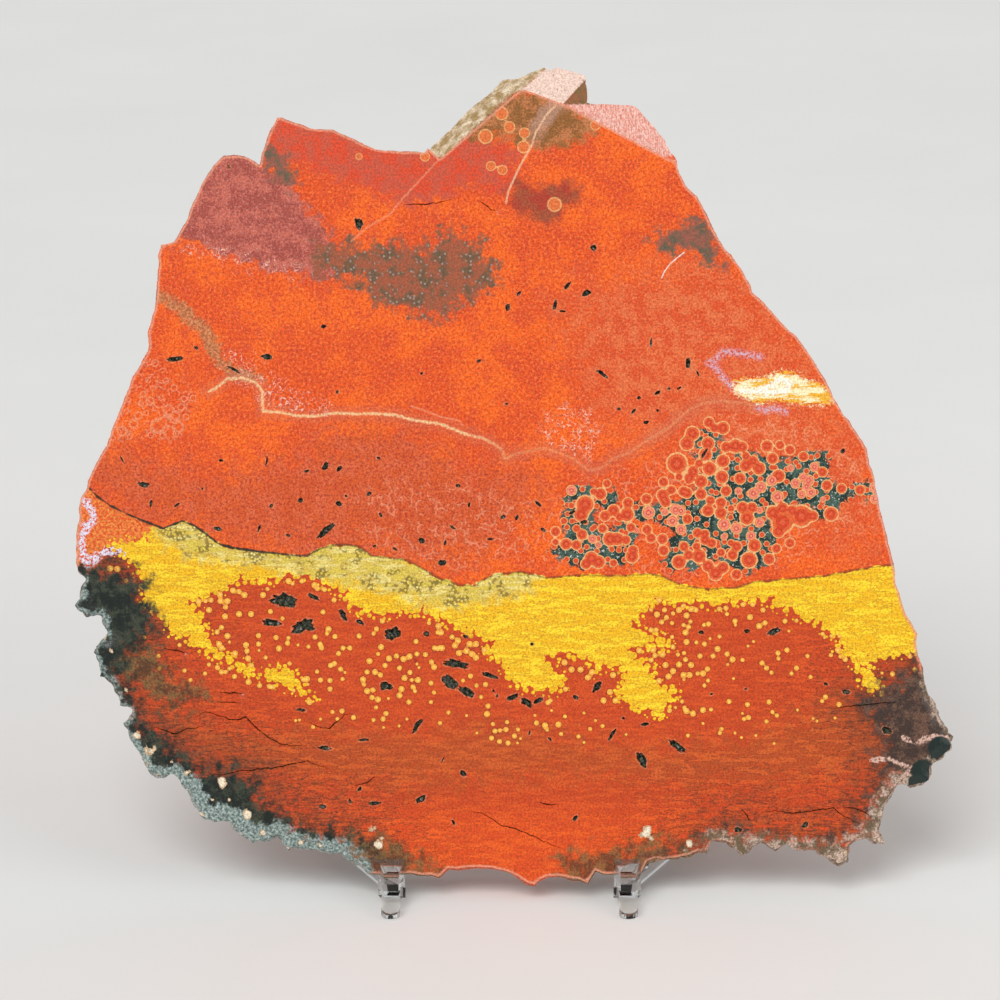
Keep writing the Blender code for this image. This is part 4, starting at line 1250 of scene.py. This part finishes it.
def band_colour(shader, tex):
    """Colour the yellow band, with its pale and dark-flecked part."""
    streaks = shader.step(tex["flow"], 0.4, 0.62)
    yellow = shader.mix(streaks, paint(240, 184, 12), paint(252, 212, 36))
    pale = shader.mix(streaks, paint(218, 192, 74), paint(232, 212, 124))
    flecks = shader.both(shader.step(tex["stipple"], 0.3, 0.42), shader.step(tex["cloudy"], 0.5, 0.58))
    return layered(shader, yellow, [
        (shader.step(tex["fine"], 0.46, 0.36, 0.6), paint(214, 140, 12)),
        (shader.zone("pale_band", 1.6, tex["ragged"], 1.8), pale),
        (shader.both(flecks, shader.zone("pale_band", 0.8, tex["ragged"], 1.2, 0.8)), paint(104, 88, 28)),
        (shader.both(tex["crease"], 0.55), paint(176, 118, 20)),
    ])


def rind_colour(shader, tex):
    """Colour the dark rind: green at the left, brown at the right, with a pale fringe at the edge."""
    clouds = shader.step(tex["cloudy"], 0.42, 0.66)
    green = shader.mix(clouds, paint(16, 26, 20), paint(56, 62, 46))
    brown = shader.mix(clouds, paint(62, 44, 36), paint(104, 74, 58))
    dark = shader.mix(shader.step(tex["x"], 20, 50), green, brown)
    frost = shader.mix(shader.step(tex["fine"], 0.34, 0.7), paint(84, 104, 100), paint(176, 190, 184))
    blush = shader.mix(shader.step(tex["cloudy"], 0.4, 0.62), paint(112, 92, 66), paint(206, 178, 160))
    blush = shader.mix(shader.step(tex["fine"], 0.5, 0.36, 0.6), blush, paint(92, 76, 58))
    fringe = shader.mix(shader.step(tex["x"], 0, 20), frost, blush)
    low = shader.step(tex["y"], 30, 16)
    reach = shader.math("MULTIPLY_ADD", low, 2.4, 0.5)
    edge = shader.math("MULTIPLY_ADD", tex["ragged"], 1.2, shader.attribute("rim"))
    share = shader.math("SUBTRACT", reach, edge)
    return shader.mix(shader.step(share, -0.6, 0.6), dark, fringe)


def orb_colours(shader, ground, size):
    """Colour orbs in rings by a size that is 0 in an orb's middle and 1 at its edge, over a ground."""
    return layered(shader, ground, [
        (shader.step(size, 1.08, 1.0), paint(234, 172, 112)),
        (shader.step(size, 0.92, 0.84), paint(222, 96, 44)),
        (shader.step(size, 0.66, 0.54), paint(206, 64, 24)),
        (shader.step(size, 0.3, 0.2), paint(222, 90, 50)),
    ])


def pearly(shader, tex, ground, strength):
    """Net a ground with the thin pale outlines of small packed orbs."""
    outline = shader.both(shader.step(tex["orbs"], 0.4, 0.47), shader.step(tex["orbs"], 0.62, 0.54))
    patchy = shader.step(tex["cloudy"], 0.42, 0.56)
    share = shader.both(shader.both(outline, patchy), shader.zone("net", 2, tex["ragged"], 2))
    return shader.mix(shader.both(share, strength), ground, paint(236, 156, 118))


def dark_matrix(shader, tex):
    """Colour the dark green matrix between the orbs."""
    return shader.mix(shader.step(tex["cloudy"], 0.42, 0.6), paint(16, 42, 34), paint(66, 92, 80))


def cluster_colour(shader, tex, ground):
    """Colour the orb clusters: orbs and small beads between them in a dark green matrix."""
    crumbs = shader.step(tex["fine"], 0.6, 0.68)
    matrix = shader.mix(crumbs, dark_matrix(shader, tex), paint(196, 202, 190))
    matrix = orb_colours(shader, matrix, shader.math("MULTIPLY", tex["orbs"], 3.4))
    ground = shader.mix(shader.zone("cluster", 0.4, tex["ragged"], 1.2), ground, matrix)
    pink = shader.attribute("pink")
    return layered(shader, orb_colours(shader, ground, shader.attribute("orb")), [
        (shader.step(pink, 0.86, 0.74), paint(232, 134, 106)),
        (shader.step(pink, 0.5, 0.4), paint(212, 84, 60)),
        (shader.step(pink, 0.26, 0.16), paint(238, 150, 122)),
    ])


def band_mask(shader, tex):
    """Return where the yellow band is: sharp on top, and below a fringe of round beads."""
    depth = shader.attribute("band")
    beads = shader.math("MULTIPLY_ADD", tex["beads"], -3.4, 1.5)
    beads = shader.both(beads, shader.step(shader.attribute("boundary"), 0.8, 2.4))
    ragged = shader.math("MULTIPLY_ADD", tex["ragged"], 0.5, shader.math("ADD", depth, beads))
    return shader.both(shader.step(ragged, -0.12, 0.12), shader.step(depth, -1.6, -1.2))


def peak_colours(shader, tex, ground):
    """Colour the orange orbs and the pale sheet at the peak."""
    orb = shader.attribute("peak_orb")
    high = shader.step(tex["y"], 144, 152)
    sheet = shader.both(shader.line("peak_vein", 0.9, 1.6, tex["ragged"], 0.5), high)
    return layered(shader, ground, [
        (shader.both(sheet, 0.65), paint(190, 146, 124)),
        (shader.step(orb, 1.1, 1.0, 0.8), paint(236, 168, 106)),
        (shader.step(orb, 0.88, 0.78, 0.9), paint(222, 104, 44)),
        (shader.line("peak_vein", 0.1, 0.2, tex["fray"], 0.08, 0.7), paint(236, 188, 150)),
    ])


def vein_colours(shader, tex, ground):
    """Colour the thin veins, strands and seams."""
    fray = tex["fray"]
    left = shader.math("MULTIPLY_ADD", shader.step(tex["x"], 2, -12), 0.75, 0.2)
    wisps = shader.both(shader.line("lilac", 0.3, 1.0, fray, 0.9), shader.step(tex["fine"], 0.42, 0.56))
    broken = shader.step(tex["fine"], 0.42, 0.5)
    frost = shader.both(shader.line("frost", 0.4, 0.7, tex["ragged"], 0.7), broken)
    curls = shader.step(shader.math("ABSOLUTE", shader.math("SUBTRACT", tex["curl"], 0.5)), 0.034, 0.016)
    curls = shader.both(curls, shader.step(tex["cloudy"], 0.42, 0.54))
    curls = shader.both(curls, shader.zone("frill", 1.0, tex["ragged"], 2.2))
    return layered(shader, ground, [
        (shader.line("vein", 0.9, 1.2, tex["ragged"], 0.6, 0.3), paint(196, 104, 76)),
        (shader.both(shader.line("vein", 0.08, 0.34, fray, 0.3), left), paint(238, 190, 138)),
        (shader.line("branch", 0.05, 0.26, fray, 0.14, 0.6), paint(236, 144, 108)),
        (shader.both(wisps, 0.8), paint(206, 184, 206)),
        (frost, paint(222, 216, 234)),
        (shader.both(curls, 0.8), paint(240, 190, 170)),
        (shader.line("thread", 0.05, 0.12, fray, 0.06, 0.9), paint(240, 220, 206)),
    ])


def face_colour(shader, tex):
    """Colour the polished front."""
    ragged, fray = tex["ragged"], tex["fray"]
    ground = shader.mix(
        shader.zone("lower", 0.12, fray, 0.1), pearly(shader, tex, upper_colour(shader, tex), 0.48),
        lower_colour(shader, tex),
    )
    ground = cluster_colour(shader, tex, ground)
    ground = peak_colours(shader, tex, ground)
    ground = vein_colours(shader, tex, ground)
    ring, spot, nodule = shader.attribute("ring"), shader.attribute("spot"), shader.attribute("nodule")
    nodule = shader.math("MULTIPLY_ADD", tex["ragged"], 0.9, nodule)
    ring = shader.both(shader.step(ring, 1.25, 1.08), shader.step(ring, 0.66, 0.84))
    band = band_mask(shader, tex)
    outside = shader.math("SUBTRACT", 1, band)
    stain = shader.step(shader.math("MULTIPLY_ADD", ragged, 3.2, shader.attribute("rind")), -3.6, 1.2)
    clean = shader.math("SUBTRACT", 1, stain)
    # Painted highlight: a pale pink line along the front face's edge, left out where the rind's stain is.
    rim_highlight = shader.both(shader.step(shader.attribute("rim"), 0.6, 0.2), clean)
    moss = shader.mix(shader.step(tex["cloudy"], 0.42, 0.6), paint(62, 52, 28), paint(112, 92, 50))
    crumbs = shader.step(tex["fine"], 0.36, 0.48)
    blush = shader.mix(tex["fine"], paint(150, 98, 80), paint(250, 214, 196))
    seam_share = shader.math("MULTIPLY_ADD", shader.step(tex["x"], -20, -56), 0.5, 0.5)
    pod = shader.mix(shader.step(tex["flow"], 0.42, 0.56), paint(240, 176, 44), paint(252, 234, 186))
    pit_edge = shader.step(shader.attribute("pit"), 0.34, 0.12)
    pit_edge = shader.both(pit_edge, shader.step(tex["fine"], 0.42, 0.54))
    return layered(shader, ground, [
        (shader.both(ring, 0.75), paint(232, 140, 100)),
        (band, band_colour(shader, tex)),
        (shader.both(shader.step(spot, 1.35, 1.15, 0.7), outside), paint(132, 30, 14)),
        (shader.step(spot, 1.08, 0.94), paint(240, 166, 56)),
        (shader.step(spot, 0.6, 0.4), paint(248, 196, 92)),
        (shader.zone("olive_rind", 2.2, ragged, 3, 0.8), moss),
        (stain, rind_colour(shader, tex)),
        (shader.both(shader.line("seam", 0.1, 0.5, ragged, 0.5), crumbs), blush),
        (shader.step(shader.attribute("lobe"), 1.0, 0.84), paint(14, 34, 28)),
        (shader.step(nodule, 1.1, 0.9), paint(196, 168, 134)),
        (shader.step(nodule, 0.7, 0.4), paint(236, 222, 196)),
        (shader.zone("pod", 0.5, fray, 1.0), pod),
        (shader.line("core", 0.3, 0.6, fray, 0.6, 0.9), paint(254, 246, 230)),
        (shader.both(shader.line("boundary", 0.08, 0.26, ragged, 0.2), seam_share), paint(50, 38, 20)),
        (shader.both(pit_edge, 0.6), paint(206, 132, 96)),
        (shader.both(rim_highlight, 0.8), paint(228, 150, 120)),
    ])


def grained(shader, tex, colour):
    """Mottle a colour with the stone's fine grain."""
    grain = shader.math("MULTIPLY_ADD", shader.step(tex["grain"], 0.34, 0.66), 0.44, 0.74)
    return shader.mix(1.0, colour, grain, "MULTIPLY")


def face_material():
    """The polished front of the slab, with painted shade darkening its pits and cracks."""
    shader = Shader("polished_jasper")
    tex = stone_noises(shader, True)
    colour = grained(shader, tex, face_colour(shader, tex))
    # Painted shade: the sunken pits and cracks, away from the rim, get a dark mottled colour by their
    # depth.
    recess_shade = shader.both(shader.step(tex["z"], -0.04, -0.3), shader.step(shader.attribute("rim"), 1.0, 2.6))
    floor = shader.mix(shader.step(tex["fine"], 0.46, 0.64), paint(26, 34, 26), paint(96, 98, 78))
    shader.set("Base Color", shader.mix(recess_shade, colour, floor))
    shader.set("Roughness", shader.math("MULTIPLY_ADD", tex["cloudy"], 0.2, 0.14))
    shader.bump(tex["grain"], 0.5, 0.05 * MM)
    return shader.material


def through_colour(shader, tex):
    """Colour the stone where the front's orbs and spots don't reach: its zones run right through it."""
    upper = pearly(shader, tex, upper_colour(shader, tex), 0.75)
    ground = shader.mix(shader.zone("lower", 0.3, tex["ragged"], 0.5), upper, lower_colour(shader, tex))
    orbs = orb_colours(shader, dark_matrix(shader, tex), shader.math("MULTIPLY", tex["orbs"], 2.3))
    dotted = shader.both(shader.zone("brown", 3, tex["ragged"], 4), shader.step(tex["beads"], 0.28, 0.22))
    dotted = shader.both(dotted, shader.step(tex["cloudy"], 0.46, 0.5))
    return layered(shader, ground, [
        (shader.zone("cluster", 1.2, tex["ragged"], 1.5), orbs),
        (dotted, paint(244, 178, 66)),
        (band_mask(shader, tex), band_colour(shader, tex)),
        (shader.zone("olive_rind", 2.0, tex["ragged"], 2.2), paint(104, 88, 44)),
        (shader.zone("rind", 2.2, tex["ragged"], 3), rind_colour(shader, tex)),
        (shader.zone("pod", 0.5, tex["fray"], 0.8), paint(246, 188, 84)),
        (shader.line("vein", 0.2, 0.3, tex["fray"], 0.22, 0.8), paint(240, 200, 160)),
        (shader.line("boundary", 0.12, 0.25, tex["ragged"], 0.2), paint(50, 38, 20)),
    ])


def back_material():
    """The back of the slab, sawn and polished, with orbs and spots of its own."""
    shader = Shader("polished_jasper_back")
    tex = stone_noises(shader, True)
    colour = grained(shader, tex, through_colour(shader, tex))
    # Painted shade: the back's sunken pits, away from the rim, get a flat dark colour by their depth.
    recess_shade = shader.step(tex["z"], 0.04 - THICKNESS, 0.3 - THICKNESS)
    recess_shade = shader.both(recess_shade, shader.step(tex["z"], -3, -5))
    recess_shade = shader.both(recess_shade, shader.step(shader.attribute("rim"), 1.0, 2.6))
    shader.set("Base Color", shader.mix(recess_shade, colour, paint(40, 42, 32)))
    shader.set("Roughness", shader.math("MULTIPLY_ADD", tex["cloudy"], 0.24, 0.22))
    shader.bump(tex["grain"], 0.4, 0.04 * MM)
    return shader.material


def rim_material():
    """The broken sides and the bare fracture faces at the peak."""
    shader = Shader("broken_jasper")
    tex = stone_noises(shader, False)
    rubble = shader.mix(shader.step(tex["ragged"], -0.5, 0.6), paint(170, 138, 88), paint(238, 216, 186))
    brown_facet = shader.mix(shader.step(tex["cloudy"], 0.4, 0.6), paint(150, 92, 56), paint(112, 92, 48))
    scratch = shader.noise(shader.stretched(tex["place"], (3.4, 0.5, 1)), 1.2, 3, 0.7)
    # The up-facing quad facet's pale pink-white is partly its own colour and partly a painted highlight
    # from the light falling on it.
    quad = shader.mix(shader.step(scratch, 0.6, 0.7), paint(240, 208, 192), paint(150, 110, 92))
    pink_facet = shader.mix(shader.step(scratch, 0.4, 0.6), paint(222, 136, 118), paint(244, 196, 182))
    rind = shader.zone("rind", 1.2, tex["ragged"], 1.0)
    dusty = shader.both(shader.step(tex["fine"], 0.4, 0.64), shader.math("MULTIPLY_ADD", rind, -0.3, 0.5))
    colour = layered(shader, through_colour(shader, tex), [
        (dusty, paint(222, 164, 144)),
        (shader.zone("bevel", 0.3, tex["fray"], 0.5), rubble),
        (shader.zone("pink_facet", 0.3, tex["fray"], 0.3), pink_facet),
        (shader.zone("brown_facet", 0.2, tex["fray"], 0.2), brown_facet),
        (shader.zone("quad", 0.15, tex["fray"], 0.1), quad),
    ])
    smooth = shader.math("MAXIMUM", rind, shader.zone("quad", 0.15, tex["fray"], 0.1))
    shader.set("Base Color", grained(shader, tex, colour))
    shader.set("Roughness", shader.math("MULTIPLY_ADD", smooth, -0.42, 0.66))
    shader.bump(tex["fine"], 0.5, 0.14 * MM)
    return shader.material


def clear_plastic():
    """Clear moulded plastic with faint waves and handling marks."""
    shader = Shader("clear_plastic")
    place = shader.place()
    shader.set("Base Color", paint(250, 252, 252))
    shader.set("Transmission Weight", 1.0)
    shader.set("IOR", PLASTIC_IOR)
    marks = shader.noise(place, 0.9, 5, 0.7)
    shader.set("Roughness", shader.math("MULTIPLY_ADD", shader.step(marks, 0.5, 0.75), 0.12, 0.03))
    shader.bump(shader.noise(place, 0.25, 2), 0.25, 0.1 * MM)
    return shader.material


def dress_stand(frame):
    """Give the stand's CAD parts rounded edges and clear plastic."""
    plastic = clear_plastic()
    for name in ("stand_leg_left", "stand_leg_right", "stand_rod"):
        part = frame["nodes"][name]
        weld = part.modifiers.new("weld", "WELD")
        weld.merge_threshold = STAND_WELD
        bevel = part.modifiers.new("edges", "BEVEL")
        bevel.width = EDGE_WIDTH
        bevel.segments = 2
        bevel.limit_method = "ANGLE"
        bevel.angle_limit = EDGE_ANGLE
        for slot in part.material_slots:
            slot.material = plastic
        if not part.material_slots:
            part.data.materials.append(plastic)


def add_floor():
    """Lay the pale floor."""
    mesh = bpy.data.meshes.new("floor")
    bm = bmesh.new()
    bmesh.ops.create_grid(bm, x_segments=1, y_segments=1, size=FLOOR_REACH)
    bm.to_mesh(mesh)
    bm.free()
    shader = Shader("pale_floor")
    cloud = shader.noise(shader.place(), 0.01, 3)
    shader.set("Base Color", shader.mix(cloud, paint(226, 226, 224), paint(234, 234, 232)))
    shader.set("Roughness", 0.8)
    mesh.materials.append(shader.material)
    floor = linked("floor", mesh)


def add_camera(seat):
    """Set up the camera, square on to the slab's face as the photograph's was."""
    target = seat @ Vector((*(on_face(CAMERA_TARGET) * MM), 0))
    outward = Vector((0, -math.cos(LEAN), math.sin(LEAN)))
    data = bpy.data.cameras.new("camera")
    data.sensor_width = SENSOR
    data.lens = SENSOR * CAMERA_DISTANCE / CAMERA_VIEW
    camera = linked("camera", data)
    camera.location = target + outward * CAMERA_DISTANCE
    camera.rotation_euler = (math.pi / 2 - LEAN, 0, 0)
    bpy.context.scene.camera = camera


def add_light(kind, name, place):
    """Add one soft light that faces the middle of the slab."""
    data = bpy.data.lights.new(name, kind)
    light = linked(name, data)
    light.location = place
    light.rotation_euler = (LIGHT_TARGET - Vector(place)).to_track_quat("-Z", "Y").to_euler()
    return data


def add_lights():
    """Set up plain soft studio light."""
    world = bpy.data.worlds.new("studio")
    world.use_nodes = True
    background = world.node_tree.nodes["Background"]
    background.inputs["Color"].default_value = (1.0, 1.0, 1.0, 1.0)
    background.inputs["Strength"].default_value = WORLD_STRENGTH
    bpy.context.scene.world = world
    key = add_light("SUN", "key", KEY_FROM)
    key.angle = KEY_SPREAD
    key.energy = KEY_STRENGTH
    fill = add_light("AREA", "fill", FILL_FROM)
    fill.size = FILL_SIZE
    fill.energy = FILL_POWER
    bpy.context.scene.view_settings.view_transform = "Standard"


def main():
    """Build the scene."""
    clear_scene()
    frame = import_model()
    node = frame["nodes"]["jasper_slab"]
    seat = slab_seat(node)
    slab = build_slab(node, seat)
    for material in (face_material(), rim_material(), back_material()):
        slab.data.materials.append(material)
    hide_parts("jasper_slab")
    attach(slab, "root")
    dress_stand(frame)
    add_floor()
    add_camera(seat)
    add_lights()


main()
